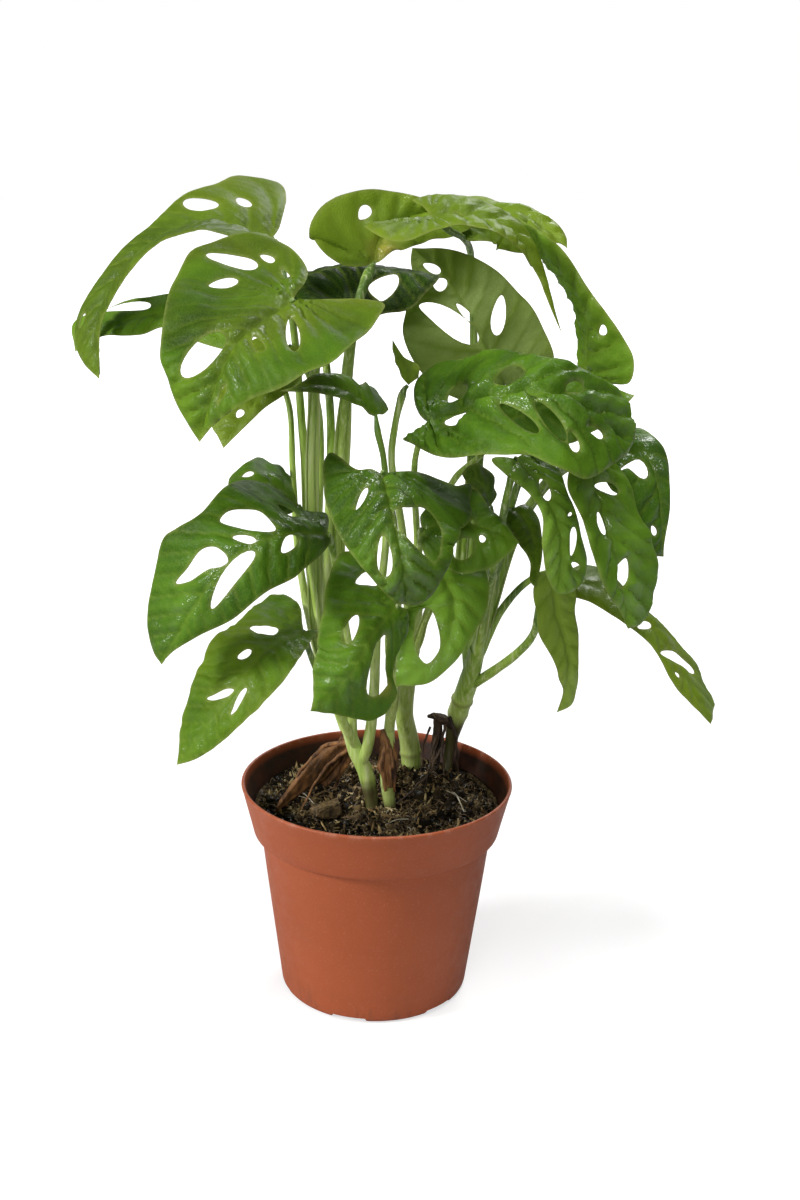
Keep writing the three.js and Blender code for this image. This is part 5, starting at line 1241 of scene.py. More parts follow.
# Steps of the midrib, the gentle curl and waves of a blade's halves, and the shape of its slots.
RIB_SAMPLES = 240
CURL = 0.12
WAVE = 0.9
WAVES = 3
WAVE_PHASE = 0.2
FORM_REACH = 0.35
SLOT_EGG = 0.25
SLOT_POINTS = 22
# The flat mesh, in shares of its points' spacing: between its rows, and from a row to an edge.
ROW_SPACING = 0.87
EDGE_ROOM = 0.45
SLIVER = 1e-6
# Side veins: how steeply they leave the rib at its base, how much more at its tip, how much they
# bow, and how far those of one half are shifted against the other's, in shares of their spacing.
VEIN_SLOPE = 0.35
VEIN_SLOPE_GAIN = 0.75
VEIN_BOW = 0.45
VEIN_SHIFT = 0.35
VEIN_TURN = 0.42
SQUARE_ACROSS = 0.8
# Half widths of the midrib, a side vein and the finer vein between two of them, in millimetres, and
# how deep they lie in the upper face and how high they stand on the under one.
RIB_WIDTH, VEIN_WIDTH, MINOR_WIDTH = 1.15, 0.55, 0.45
RIB_NARROWING = 0.75
MINOR_STRENGTH = 0.4
RIB_DEPTH, VEIN_DEPTH, MINOR_DEPTH = 0.45, 0.16, 0.08
RIB_RISE, VEIN_RISE, MINOR_RISE = 0.95, 0.2, 0.08
RIB_RISE_LOSS = 0.6
GROOVE_WIDTH = 2.8
# Unevenness of a blade, in millimetres high, and the scale and shift of its noise.
COARSE_HEIGHT, COARSE_NOISE = 0.3, (0.11, 0)
SLOW_HEIGHT, SLOW_NOISE = 1.6, (0.045, 7)
FINE_NOISE = (0.24, 3)
RIM_FADE = 0.35
SHARP_EDGE = math.radians(55)


class Blade:
    """A leaf's flat pattern, and where each point of it lies on the grown leaf."""

    def __init__(self, leaf):
        self.leaf = leaf
        self.points = spline(leaf["rib"], RIB_SAMPLES)
        self.cum = lengths(self.points)
        self.length = self.cum[-1]
        self.forward = unit(np.gradient(self.points, self.cum, axis=0))
        middle = leaf["at"] * self.length
        centre = along(middle, self.cum, self.points)
        ahead = unit(along(middle, self.cum, self.forward))
        arms = [np.array(leaf[key], float) - centre for key in ("left", "right")]
        left, right = (arm - ahead * (arm @ ahead) for arm in arms)
        across = square_to(ahead, unit(right) - unit(left))
        up = np.cross(across, ahead)
        self.fold = math.atan2(right @ up, right @ across)
        self.across = self.carried(across, int(np.searchsorted(self.cum, middle)))

    def carried(self, across, start):
        """The direction across the rib at each of its points, turned as little as the rib allows."""
        out = np.zeros_like(self.points)
        start = min(max(start, 1), RIB_SAMPLES - 1)
        out[start] = square_to(self.forward[start], across)
        for steps, back in ((range(start + 1, RIB_SAMPLES + 1), -1), (range(start - 1, -1, -1), 1)):
            for i in steps:
                out[i] = square_to(self.forward[i], out[i + back])
        return out

    def place(self, x, y):
        """Points of the pattern, x along the rib and y to its right, on the grown leaf."""
        ahead = unit(along(x, self.cum, self.forward))
        beyond = np.minimum(x, 0) + np.maximum(x - self.length, 0)
        centre = along(x, self.cum, self.points) + ahead * beyond[:, None]
        across = square_to(ahead, along(x, self.cum, self.across))
        up = np.cross(across, ahead)
        side = np.where(y < 0, -1.0, 1.0)[:, None]
        cos, sin = math.cos(self.fold), math.sin(self.fold)
        out = side * across * cos + up * sin
        normal = up * cos - side * across * sin
        away = np.abs(y)[:, None]
        reach = FORM_REACH * self.length
        bend = CURL / reach
        ripple = np.sin(2 * math.pi * (WAVES * x[:, None] / self.length + WAVE_PHASE * side))
        lift = WAVE * np.minimum(away / reach, 1) ** 2 * ripple
        down = (np.cos(bend * away) - 1) / bend
        return centre + out * np.sin(bend * away) / bend + normal * (down + lift)

    def margin(self, spacing):
        """The blade's outline: two smooth sides that meet in corners at its base and its tip."""
        sides = []
        for key, sign in (("right_edge", 1), ("left_edge", -1)):
            edge = np.array([(0, 0), *self.leaf[key], (100, 0)]) / 100 * self.length
            sides.append(rounded(edge * (1, sign), spacing))
        return np.vstack([sides[0][:-1], sides[1][:0:-1]])

    def holes(self, spacing):
        """Its slots, as egg-shaped ovals, and its other openings."""
        loops = []
        angle = np.linspace(0, 2 * math.pi, SLOT_POINTS, endpoint=False)[:, None]
        out = np.sin(angle) * (1 + SLOT_EGG * np.cos(angle))
        for slot in self.leaf["slots"]:
            u1, v1, u2, v2, width = np.array(slot) / 100
            middle, half = np.array([(u1 + u2) / 2, (v1 + v2) / 2]), np.array([u2 - u1, v2 - v1]) / 2
            side = np.array([-half[1], half[0]]) / np.linalg.norm(half) * width / 2
            loops.append((middle + half * np.cos(angle) + side * out) * self.length)
        for loop in self.leaf["openings"]:
            loops.append(rounded(np.array(loop) / 100 * self.length, spacing, closed=True))
        return loops

    def mesh(self, step):
        """The flat pattern's points and triangles at about that spacing, and the room to its edges."""
        margin, holes = self.margin(step), self.holes(step)
        loops = [margin, *holes]
        low, high = margin.min(axis=0), margin.max(axis=0)
        grid = np.array([
            (low[0] + (i + 0.5 * (k % 2)) * step, y)
            for k, y in enumerate(np.arange(low[1], high[1], step * ROW_SPACING))
            for i in range(int((high[0] - low[0]) / step) + 1)
        ])
        grid = grid[in_blade(grid, margin, holes)]
        grid = grid[room_to(grid, loops) > EDGE_ROOM * step]
        edges, start = [], 0
        for loop in loops:
            edges += [(start + k, start + n) for k, n in around(len(loop))]
            start += len(loop)
        points = [Vector(p) for p in np.vstack([*loops, grid])]
        found = geometry.delaunay_2d_cdt(points, edges, [], 0, SLIVER)
        flat, faces = np.array([tuple(p) for p in found[0]]), np.array(found[2])
        faces = faces[in_blade(flat[faces].mean(axis=1), margin, holes)]
        a, b, c = (flat[faces[:, i]] for i in range(3))
        turn = (b[:, 0] - a[:, 0]) * (c[:, 1] - a[:, 1]) - (b[:, 1] - a[:, 1]) * (c[:, 0] - a[:, 0])
        faces, turn = faces[np.abs(turn) > SLIVER], turn[np.abs(turn) > SLIVER]
        over = turn < 0 if self.leaf["turned"] else turn > 0
        faces[over] = faces[over][:, ::-1]
        used = np.unique(faces)
        return flat[used], np.searchsorted(used, faces), room_to(flat[used], loops)


def side_veins(x, away, length, spacing, sweep):
    """How far along the row of side veins each point lies; whole numbers are on a vein."""
    start = x - VEIN_SLOPE * away
    for _ in range(4):
        slope = VEIN_SLOPE + sweep + VEIN_SLOPE_GAIN * np.clip(start / length, 0, 1)
        start = x - away * slope - VEIN_BOW * away**2 / length
    base = math.atan2(1, VEIN_SLOPE)
    turn = np.arctan2(away, x - VEIN_BOW * away**2 / length) - base
    return np.where(start < 0, -turn * VEIN_TURN * length, start) / spacing


def leaf_relief(blade, settings, flat, faces, room):
    """The upper and the under points of a leaf, and the values that its materials read."""
    leaf, length = blade.leaf, blade.length
    x, y = flat.T
    away, u = np.abs(y), np.clip(x / length, 0, 1)
    near_rib = rise(away, 0, 3)

    spacing = settings.vein_spacing / MM * (0.6 + 0.4 * length / 80) * leaf["wide"]
    row = side_veins(x, away, length, spacing, leaf["sweep"]) + np.where(y < 0, VEIN_SHIFT, 0.0)
    to_vein = np.abs(row - np.round(row)) * spacing * SQUARE_ACROSS
    to_minor = np.abs(row - np.floor(row) - 0.5) * spacing * SQUARE_ACROSS
    fade = np.clip(1.15 - away / (0.5 * length), 0.25, 1)
    rib = bell(away, RIB_WIDTH - RIB_NARROWING * u) * (x > -0.5)
    vein = bell(to_vein, VEIN_WIDTH) * fade
    minor = MINOR_STRENGTH * bell(to_minor, MINOR_WIDTH) * fade

    pleat = 1 - (2 * (row - np.floor(row)) - 1) ** 2
    small = 0.22 * np.sin(4 * math.pi * row) * np.sin(away * 0.9 + 2 * row)
    spread = near_rib * (1.25 - 0.8 * rise(away, 0, 0.4 * length))
    plump = (pleat + small) * spread * rise(room, 0, 2.5)
    plump = plump * leaf["quilt"] * settings.quilt / MM

    middle = blade.place(x, y)
    normal = vertex_normals(middle, faces)
    coarse, slow, fine = (noise_at(middle, *kind) for kind in (COARSE_NOISE, SLOW_NOISE, FINE_NOISE))
    lift = COARSE_HEIGHT * coarse * rise(room, 0, 3) + SLOW_HEIGHT * slow * rise(away, 0, 12)
    lift = lift + leaf["blister"] * fine - leaf["groove"] * bell(away, GROOVE_WIDTH)
    middle = middle + normal * (plump + lift)[:, None]
    half = settings.thickness / MM / 2 * (0.35 + 0.65 * rise(room, 0, 1.2))
    sunk = RIB_DEPTH * rib + VEIN_DEPTH * vein + MINOR_DEPTH * minor
    raised = (RIB_RISE - RIB_RISE_LOSS * u) * rib + VEIN_RISE * vein + MINOR_RISE * minor
    clear = rise(room, 0, 0.8)
    upper = middle + normal * (half - sunk * clear)[:, None]
    under = middle - normal * (half + raised * clear)[:, None]

    # Painted light and shade: brighter on the pleats' ridges and darker in their furrows. The shade also runs
    # darker towards the base and brighter towards the tip, and `tip` changes it at the tip.
    pleat_light_and_shade = (pleat - 0.6) * near_rib * fade
    shade = leaf["shade"] + 0.1 * coarse + 0.22 * pleat_light_and_shade + 0.2 * (u - 0.5)
    shine = bell(away - 4, 6.5) * (1 - 0.5 * u) * (0.5 + 0.9 * pleat)
    spot = np.zeros(len(flat))
    for su, sv, radius in leaf["spots"]:
        far = np.hypot(x / length - su / 100, y / length - sv / 100) / (radius / 100)
        spot = np.maximum(spot, bell(far, 1))
    return np.vstack([upper, under]), {
        "vein": np.maximum(rib, np.maximum(vein, minor)),
        # Pale rim along margins and holes, partly a painted highlight.
        "rim": np.exp(-room / RIM_FADE),
        "shade": shade + leaf["tip"] * rise(u, 0.55, 0.15),
        "yellow": leaf["yellow"] * (0.8 + 0.5 * np.clip(1 - room / 8, 0, 1)),
        "sheen": leaf["wax"] * (0.06 + 0.94 * np.clip(shine, 0, 1)),
        "spot": spot,
    }


def leaf_piece(name, settings, materials):
    """One leaf: an upper and an under face, which a rim joins round its margin and its holes."""
    leaf = {**LEAF_DEFAULTS, **LEAVES[name]}
    blade = Blade(leaf)
    flat, faces, room = blade.mesh(settings.spacing / MM)
    count = len(flat)
    vertices, values = leaf_relief(blade, settings, flat, faces, room)
    rim = [(b, a, a + count, b + count) for a, b in open_edges(faces)]
    polygons = faces.tolist() + (faces[:, ::-1] + count).tolist() + rim
    kinds = [0] * len(faces) + [1] * len(faces) + [0] * len(rim)
    piece = new_piece(name, vertices, polygons, materials, kinds)
    piece.data.set_sharp_from_angle(angle=SHARP_EDGE)
    for key, numbers in values.items():
        add_values(piece, key, np.tile(numbers, 2))
    layer = piece.data.uv_layers.new(name="pattern")
    corner = np.zeros(len(piece.data.loops), int)
    piece.data.loops.foreach_get("vertex_index", corner)
    layer.data.foreach_set("uv", (flat / blade.length)[corner % count].ravel())
    settle(piece, name, slot=f"leaf_{leaf['tone']}")


# ---------------------------------------------------------------- shoots and roots

# How far a stalk swells just under its leaf, and how far its last bit narrows and is painted
# darker, a painted shade that keeps its lit end from showing pale.
SWELL_AT, SWELL_WIDTH, SWELL = 0.955, 0.03, 0.25
END_SPAN, END_NARROWING, END_PAINTED_SHADE = 0.04, 0.45, 0.4
NODE_WIDTH, NODE_SWELL = 0.8, 0.12
# The brown bark of a stem's foot fades out over this height, up to the shoot's `bark` or this one.
BARK_FADE = 5
USUAL_BARK = 93
# A shaded shoot's stem is painted darker from this height over this span, a painted shade.
SHADED_FROM, SHADED_SPAN = 118, 30
# Corners of a wing's section, in shares of the stalk's radius, of the thickness and of its width.
WING_THICKNESS = 0.6
WING_SECTION = (
    (0.45, 0.45, 0.0), (1.0, 0.3, 0.5), (1.0, 0.1, 1.0), (1.0, -0.1, 1.0), (1.0, -0.3, 0.5),
    (0.45, -0.45, 0.0),
)
HUSK_SIDES = 30


def stalk_course(name, stalk):
    """A stalk's smooth path to its leaf, its radii and shares."""
    return tapered([*stalk["points"], LEAVES[name]["rib"][0]], stalk["radii"])


def shoot_paths(shoot):
    """The paths of a shoot's stem and stalks, with how far up each point is on its stalk."""
    points, radii, share = tapered(shoot["stem"], shoot["stem_radii"])
    z, shaded = points[:, 2], shoot.get("shaded", 0.0)
    node = sum(bell(z - height, NODE_WIDTH) for height in shoot["nodes"])
    # The stem runs a little darker towards its top, and a shaded shoot's stem gets painted shade.
    up = 0.12 * (1 - share) + shaded * rise(z, SHADED_FROM, SHADED_SPAN)
    foot = np.clip((shoot.get("bark", USUAL_BARK) - z) / BARK_FADE, 0, 1)
    paths = [(points, radii * (1 + NODE_SWELL * node), {"along": up, "foot": foot, "node": node})]
    for name, stalk in shoot["stalks"].items():
        points, radii, share = stalk_course(name, stalk)
        if "sheath" in stalk:
            start, end, _ = stalk["sheath"]
            radii = radii * (1 - 0.3 * rise(share, start, 0.1) * rise(end - share, 0, 0.1))
        swell = bell(share - SWELL_AT, SWELL_WIDTH)
        end = rise(share, 1 - END_SPAN, END_SPAN)
        radii = radii * (1 + SWELL * swell) * (1 - END_NARROWING * end)
        # Darker towards the leaf; a shaded shoot's stalks and every stalk's end get painted shade.
        up = share**1.5 * (1 - shaded) + shaded + END_PAINTED_SHADE * end
        paths.append((points, radii, {"along": up, "foot": 0 * share, "node": 0 * share}))
    return paths


def sheath_wings(shoot):
    """Thin wings on both sides of the groove of a stalk's sheath, as closed strips."""
    vertices, faces, edge = [], [], []
    axis = np.array([*shoot["stem"][0][:2], 0.0])
    for name, stalk in shoot["stalks"].items():
        if "sheath" not in stalk:
            continue
        start, end, width = stalk["sheath"]
        points, radii, share = stalk_course(name, stalk)
        ahead = unit(np.gradient(points, axis=0))
        inward = axis - points * (1, 1, 0)
        inward = unit(inward - ahead * (inward * ahead).sum(-1, keepdims=True) + (0, -1e-3, 0))
        inward = square_to(ahead, unit(0.55 * inward + np.array([0.2, -1.0, 0.0])))
        sideways = np.cross(ahead, inward)
        covered = (share >= start) & (share <= end)
        points, radii, share, ahead, inward, sideways = (
            row[covered] for row in (points, radii, share, ahead, inward, sideways)
        )
        t = (share - start) / (end - start)
        flare = width * np.sin(math.pi * np.clip(t, 0, 1)) ** 0.5 * (0.75 + 0.25 * np.sin(9 * t))
        for sign in (-1, 1):
            out = unit(inward * 0.35 + sideways * sign)
            thin = np.cross(ahead, out) * WING_THICKNESS
            faces += skin(len(vertices), len(points), len(WING_SECTION))
            for i, point in enumerate(points):
                for deep, thick, far in WING_SECTION:
                    reach = 0.7 * radii[i] * deep + flare[i] * far
                    curl = 0.25 * flare[i] * far**2
                    vertices.append(point + out[i] * reach + thin[i] * thick + inward[i] * curl)
                    edge.append(far)
    return vertices, faces, edge


def husk(points, widths, thicknesses, seed):
    """A crumpled papery husk along a path, as a closed flattened tube; half widths in millimetres."""
    path, wide, share = tapered(points, widths, 0.6)
    thick = np.interp(share, np.linspace(0, 1, len(thicknesses)), thicknesses)
    ahead = unit(np.gradient(path, axis=0))
    flat = unit(np.cross(ahead, (0.2, 0.9, 0.5)))
    deep = np.cross(ahead, flat)
    vertices = []
    for i, centre in enumerate(path):
        for c, d in circle(1, HUSK_SIDES):
            fold = noise.noise(Vector((3.2 * c, 3.2 * d, 2.5 * share[i] + seed)))
            crush = noise.noise(Vector((1.3 * c, 1.3 * d, 7 * share[i] + 5 * seed)))
            out = 1 + 0.5 * fold + 0.45 * crush
            bow = 0.35 * wide[i] * (c * c - 0.5)
            vertices.append(centre + flat[i] * wide[i] * c * out + deep[i] * (thick[i] * d * out + bow))
    return vertices, skin(0, len(path), HUSK_SIDES)


# How far a thin root wanders, in millimetres, how closely, and where its three noises are read.
STRAND_WANDER = 1.3
STRAND_BENDS = 0.16
STRAND_NOISES = (Vector((0, 0, 0)), Vector((31, 17, 5)), Vector((7, 53, 29)))


def strand_path(points, radii):
    """A thin root along its points, which wanders between its ends."""
    path, radii, share = tapered(points, radii, 0.9)
    wander = np.array([
        [noise.noise(Vector(p * STRAND_BENDS) + start) for start in STRAND_NOISES] for p in path
    ])
    return path + wander * STRAND_WANDER * np.sin(math.pi * share)[:, None], radii, {"along": share}


# ---------------------------------------------------------------- pot and soil

# The pot in millimetres: its height, the notches in its foot and the drain holes in its floor.
POT_HEIGHT = 98
POT_NOTCH_HEIGHT = 2.4
POT_NOTCH_REACH = 14
POT_NOTCH_TURN = math.pi / 12
FOOT_RADIUS = 40
DRAIN_HOLES = 6
DRAIN_RADIUS = 4
DRAIN_CIRCLE = 24
DRAIN_SIDES = 32
POT_SHARP_EDGE = math.radians(38)
# Heights, and at each a radius between the inside and the outside of the pot's wall. What lies
# within it from one height to another is its inner side.
WALL_HEIGHTS = (0, 6, 76, 78, POT_HEIGHT)
WALL_RADII = (39, 41.5, 50.5, 53.5, 58.7)
INNER_FROM, INNER_TO = 6, 97
# The soil's edge, its mound, and how far it is higher at the back.
SOIL_RADIUS = 54.7
SOIL_EDGE_HEIGHT = 85
MOUND_HEIGHT = 6
MOUND_CENTRE = (8, 18)
MOUND_SPREAD = 30
BACK_RISE, BACK_START, BACK_SPAN = 2.4, -5, 40
SOIL_RINGS, SOIL_SEGMENTS = 78, 260
# Rings (radius, height) of the soil's side, which follows the inside of the pot.
SOIL_SIDE = ((53.6, 81), (52.8, 77.9), (49.5, 76.8), (40.5, 6.7), (39.2, 5.1))
# The bed that bits are strewn on ends at this radius, less a margin times their largest size.
BED_RINGS, BED_SEGMENTS = 50, 160
BED_RADIUS, BED_MARGIN = 54.0, 0.75
# The large chip of bark: its half sizes, its place and its turn.
CHIP_HALF_SIZES = (6.5, 4.5, 2.8)
CHIP_PLACE = (-22, -12, 88.6)
CHIP_TURN = 0.5
HUSK_SEED = 3


def pot_profile():
    """The pot's wall and floor, from the middle of its underside round to the middle of its floor."""
    return [
        (0, 0), (9, 0), (10.2, 3.2), (36.8, 3.2), (37.9, 0.3), (38.3, 0), (39.7, 0),
        *arc((38.6, 3.4), 3.5, -70, -10, 6),
        (42.4, 5.5), (44.3, 20), (46.4, 36), (48.6, 53), (50.9, 71.5),
        *arc((52.6, 74.2), 1.4, 180, 100, 5),
        (53.3, 75.6),
        *arc((53.7, 76.7), 1.1, -90, -14, 5),
        (56.1, 82), (58.1, 90), (59.7, 96.4),
        *arc((59.2, 97.2), 0.8, -5, 185, 11),
        (57.4, 94), (55.1, 85), (53.2, 78.2), (51.6, 77.2), (49.8, 76.4),
        (46.1, 48), (42.7, 21), (41, 7.4), (40.4, 5.6), (39.2, 4.8), (0, 4.8),
    ]


def cut_out(piece, tools):
    """Takes the tool objects out of the piece for good, and removes them."""
    group = bpy.data.collections.new("cutting_tools")
    for tool in tools:
        bpy.context.scene.collection.objects.unlink(tool)
        group.objects.link(tool)
    modifier = piece.modifiers.new("cuts", "BOOLEAN")
    modifier.operation = "DIFFERENCE"
    modifier.operand_type = "COLLECTION"
    modifier.collection = group
    modifier.solver = "EXACT"
    mesh = evaluated_mesh(piece)
    piece.modifiers.clear()
    piece.data = mesh
    for tool in tools:
        bpy.data.objects.remove(tool)
    bpy.data.collections.remove(group)


def foot_notch(turn, width):
    """A tapered block that cuts one notch out of the pot's foot."""
    top = POT_NOTCH_HEIGHT
    rows = [(-width / 2, -1), (width / 2, -1), (width / 2 - 1, top), (1 - width / 2, top)]
    cos, sin = math.cos(turn), math.sin(turn)
    vertices = [
        (x * cos - y * sin, x * sin + y * cos, z)
        for y in (-FOOT_RADIUS - POT_NOTCH_REACH / 2, -FOOT_RADIUS + POT_NOTCH_REACH / 2)
        for x, z in rows
    ]
    faces = [(0, 1, 2, 3), (7, 6, 5, 4)] + [(i, i + 4, n + 4, n) for i, n in around(4)]
    return closed_outward(new_piece("foot_notch", vertices, faces, []))


def drain_hole(turn):
    """A rod that cuts one drain hole through the pot's floor."""
    x, y = DRAIN_CIRCLE * math.cos(turn), DRAIN_CIRCLE * math.sin(turn)
    vertices, faces = lathe([(0, -1), (DRAIN_RADIUS, -1), (DRAIN_RADIUS, 9), (0, 9)], DRAIN_SIDES)
    vertices = [(vx + x, vy + y, vz) for vx, vy, vz in vertices]
    return closed_outward(new_piece("drain_hole", vertices, faces, []))


def soil_height(x, y):
    """Height of the soil's even surface, a little higher at the back."""
    far = np.hypot(x - MOUND_CENTRE[0], y - MOUND_CENTRE[1]) / MOUND_SPREAD
    edge = 1 - (np.hypot(x, y) / SOIL_RADIUS) ** 4
    mound = MOUND_HEIGHT * np.exp(-far * far) * np.maximum(edge, 0)
    return SOIL_EDGE_HEIGHT + mound + BACK_RISE * rise(y, BACK_START, BACK_SPAN)


def soil_relief(x, y, lumps):
    """Height of the soil's lumpy surface."""
    point = Vector((x, y, 0))
    coarse = noise.fractal(point * 0.12, 0.9, 2.1, 4) * 2.0
    fine = noise.turbulence(point * 0.4 + Vector((9, 3, 1)), 4, True) - 0.9
    edge = min(1.0, (SOIL_RADIUS + 0.2 - math.hypot(x, y)) / 2.5)
    return soil_height(x, y) + lumps * (coarse + 1.8 * fine) * edge


def soil_top(lumps, rings, segments, radius):
    """Vertices and faces of the soil's top, from the middle to that radius."""
    vertices = [(0, 0, soil_relief(0, 0, lumps))]
    for i in range(1, rings + 1):
        points = circle(radius * i / rings, segments)
        vertices += [(x, y, soil_relief(x, y, lumps)) for x, y in points]
    faces = [(0, 1 + k, 1 + n) for k, n in around(segments)]
    for a in range(1, len(vertices) - segments, segments):
        b = a + segments
        faces += [(a + k, b + k, b + n, a + n) for k, n in around(segments)]
    return vertices, faces


def soil_body(lumps):
    """Vertices and faces of the soil: its top, its side along the pot, and its underside."""
    vertices, faces = soil_top(lumps, SOIL_RINGS, SOIL_SEGMENTS, SOIL_RADIUS)
    a = len(vertices) - SOIL_SEGMENTS
    for radius, z in SOIL_SIDE:
        b = len(vertices)
        vertices += [(x, y, z) for x, y in circle(radius, SOIL_SEGMENTS)]
        faces += [(a + k, b + k, b + n, a + n) for k, n in around(SOIL_SEGMENTS)]
        a = b
    vertices.append((0, 0, SOIL_SIDE[-1][1]))
    faces += [(a + k, len(vertices) - 1, a + n) for k, n in around(SOIL_SEGMENTS)]
    return vertices, faces


def random_bit(rng, stretch, rough):
    """Vertices and faces of one irregular bit about 1 mm long, a closed hull of random points."""
    shape = bmesh.new()
    for _ in range(BIT_CORNERS):
        v = rng.normal(size=3)
        v = v / np.linalg.norm(v) * (1 + rng.uniform(-rough, rough))
        shape.verts.new(v * stretch * 0.5)
    hull = bmesh.ops.convex_hull(shape, input=shape.verts)
    loose = [v for v in hull["geom_interior"] if isinstance(v, bmesh.types.BMVert)]
    bmesh.ops.delete(shape, geom=loose, context="VERTS")
    bmesh.ops.recalc_face_normals(shape, faces=shape.faces)
    return taken_out(shape)


def bits(name, stretch, rough, seed):
    """A collection of irregular bits, kept out of the scene."""
    rng = np.random.default_rng(seed)
    group = bpy.data.collections.new(name)
    for i in range(BITS_OF_A_KIND):
        bit = new_piece(f"{name}_{i}", *random_bit(rng, np.array(stretch), rough), [])
        bpy.context.scene.collection.objects.unlink(bit)
        group.objects.link(bit)
    return group


def bark_chip():
    """Vertices and faces of the large chip: a boxy ball with a rough skin."""
    shape = bmesh.new()
    bmesh.ops.create_icosphere(shape, subdivisions=5, radius=1)
    turn = Matrix.Rotation(CHIP_TURN, 3, "Z")
    for v in shape.verts:
        p = v.co.copy()
        boxy = Vector([math.copysign(abs(c) ** 0.5, c) for c in p])
        boxy.z *= 1 + 0.3 * p.x - 0.2 * p.y
        rough = 0.93 + 0.24 * noise.fractal(p * 1.6, 0.8, 2.0, 5)
        v.co = turn @ Vector([c * size * rough for c, size in zip(boxy, CHIP_HALF_SIZES)])
        v.co += Vector(CHIP_PLACE)
    return taken_out(shape)


def strewn_paths(count, length, radius, seed):
    """Short wandering paths over the soil, for rootlets and fibres."""
    rng = np.random.default_rng(seed)
    paths, steps, reach = [], 7, 53
    for _ in range(count):
        spread, turn = 50 * math.sqrt(rng.uniform(0.02, 1)), rng.uniform(0, 2 * math.pi)
        x, y, heading = spread * math.cos(turn), spread * math.sin(turn), rng.uniform(0, 6.3)
        points = []
        for _ in range(steps):
            heading += rng.normal(0, 0.55)
            x += length / steps * math.cos(heading)
            y += length / steps * math.sin(heading)
            far = math.hypot(x, y)
            if far > reach:
                x, y = x * reach / far, y * reach / far
            points.append((x, y, soil_relief(x, y, 1.0) + rng.uniform(-0.6, 1.4) + 0.3))
        path = even(spline(points, 60), 0.9)
        share = np.linspace(0, 1, len(path))
        paths.append((path, radius * rng.uniform(0.6, 1.3) * (1 - 0.6 * share), {"along": share}))
    return paths


# ---------------------------------------------------------------- settings

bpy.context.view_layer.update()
POT_LOW, POT_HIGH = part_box("pot")


def metres(**settings):
    """A property in metres."""
    return bpy.props.FloatProperty(unit="LENGTH", subtype="DISTANCE", **settings)


def angle(**settings):
    """A property in radians, up to one either way."""
    return bpy.props.FloatProperty(min=-1, max=1, unit="ROTATION", subtype="ANGLE", **settings)


def colour(**settings):
    """A property that is a colour."""
    return bpy.props.FloatVectorProperty(size=3, min=0, max=1, subtype="COLOR", **settings)


class VineFoliage(bpy.types.PropertyGroup):
    thickness: metres(
        name="Blade thickness", description="Thickness of a leaf between its veins",
        default=0.00045, min=0.0002, max=0.0015,
    )
    spacing: metres(
        name="Detail", description="Distance between a blade's points",
        default=0.0014, min=0.0006, max=0.005,
    )
    vein_spacing: metres(
        name="Vein spacing", description="Distance between the side veins of a leaf 80 mm long",
        default=0.0090, min=0.004, max=0.03,
    )
    quilt: metres(
        name="Quilting", description="How far the blade stands up between its veins",
        default=0.0012, min=0.0, max=0.003,
    )
    yellowing: colour(
        name="Yellowing", description="What the leaves turn to as they yellow",
        default=(0.29, 0.37, 0.016),
    )
    veins: colour(
        name="Veins", description="Green of the veins and of the net between them",
        default=(0.22, 0.33, 0.035),
    )


class VineGrowth(bpy.types.PropertyGroup):
    sides: bpy.props.IntProperty(
        name="Stalk sides", description="Sides of a stalk's round section",
        default=14, min=6, max=48,
    )
    uneven: metres(
        name="Stalk unevenness", description="How far a stalk's surface swells and sinks",
        default=0.0004, min=0.0, max=0.002,
    )
    root_uneven: metres(
        name="Root unevenness", description="How far a dry root's surface swells and sinks",
        default=0.0008, min=0.0, max=0.002,
    )


class VinePot(bpy.types.PropertyGroup):
    height: metres(
        name="Height", description="Height of the pot",
        default=POT_HIGH.z - POT_LOW.z, min=0.05, max=0.3,
    )
    segments: bpy.props.IntProperty(
        name="Segments", description="Sides of the pot's round", default=144, min=24, max=256,
    )
    notches: bpy.props.IntProperty(
        name="Foot notches", description="Notches round the pot's foot", default=6, min=0, max=12,
    )
    notch_width: metres(
        name="Notch width", description="Width of a notch in the pot's foot",
        default=0.017, min=0.002, max=0.03,
    )
    plastic: colour(
        name="Plastic", description="Colour of the pot's plastic", default=(0.335, 0.072, 0.021),
    )
    light_plastic: colour(
        name="Light plastic", description="Colour of the plastic's lighter patches",
        default=(0.390, 0.088, 0.028),
    )


class VineSoil(bpy.types.PropertyGroup):
    lumps: bpy.props.FloatProperty(
        name="Lumps", description="How lumpy the soil's surface is", default=1.3, min=0.0, max=3.0,
    )
    crumbs: bpy.props.IntProperty(
        name="Crumbs", description="Crumbs on the soil", default=4600, min=0, max=8000,
    )
    clods: bpy.props.IntProperty(
        name="Clods", description="Larger clods on the soil", default=190, min=0, max=1000,
    )
    chips: bpy.props.IntProperty(
        name="Bark bits", description="Bits of bark on the soil", default=760, min=0, max=2000,
    )
    # Pale grains, also strewn as painted glints on the soil.
    grains: bpy.props.IntProperty(
        name="Pale grains", description="Pale mineral grains on the soil", default=260, min=0, max=500,
    )
    seed: bpy.props.IntProperty(
        name="Seed", description="Start of every random draw on the soil", default=11, min=1, max=999,
    )


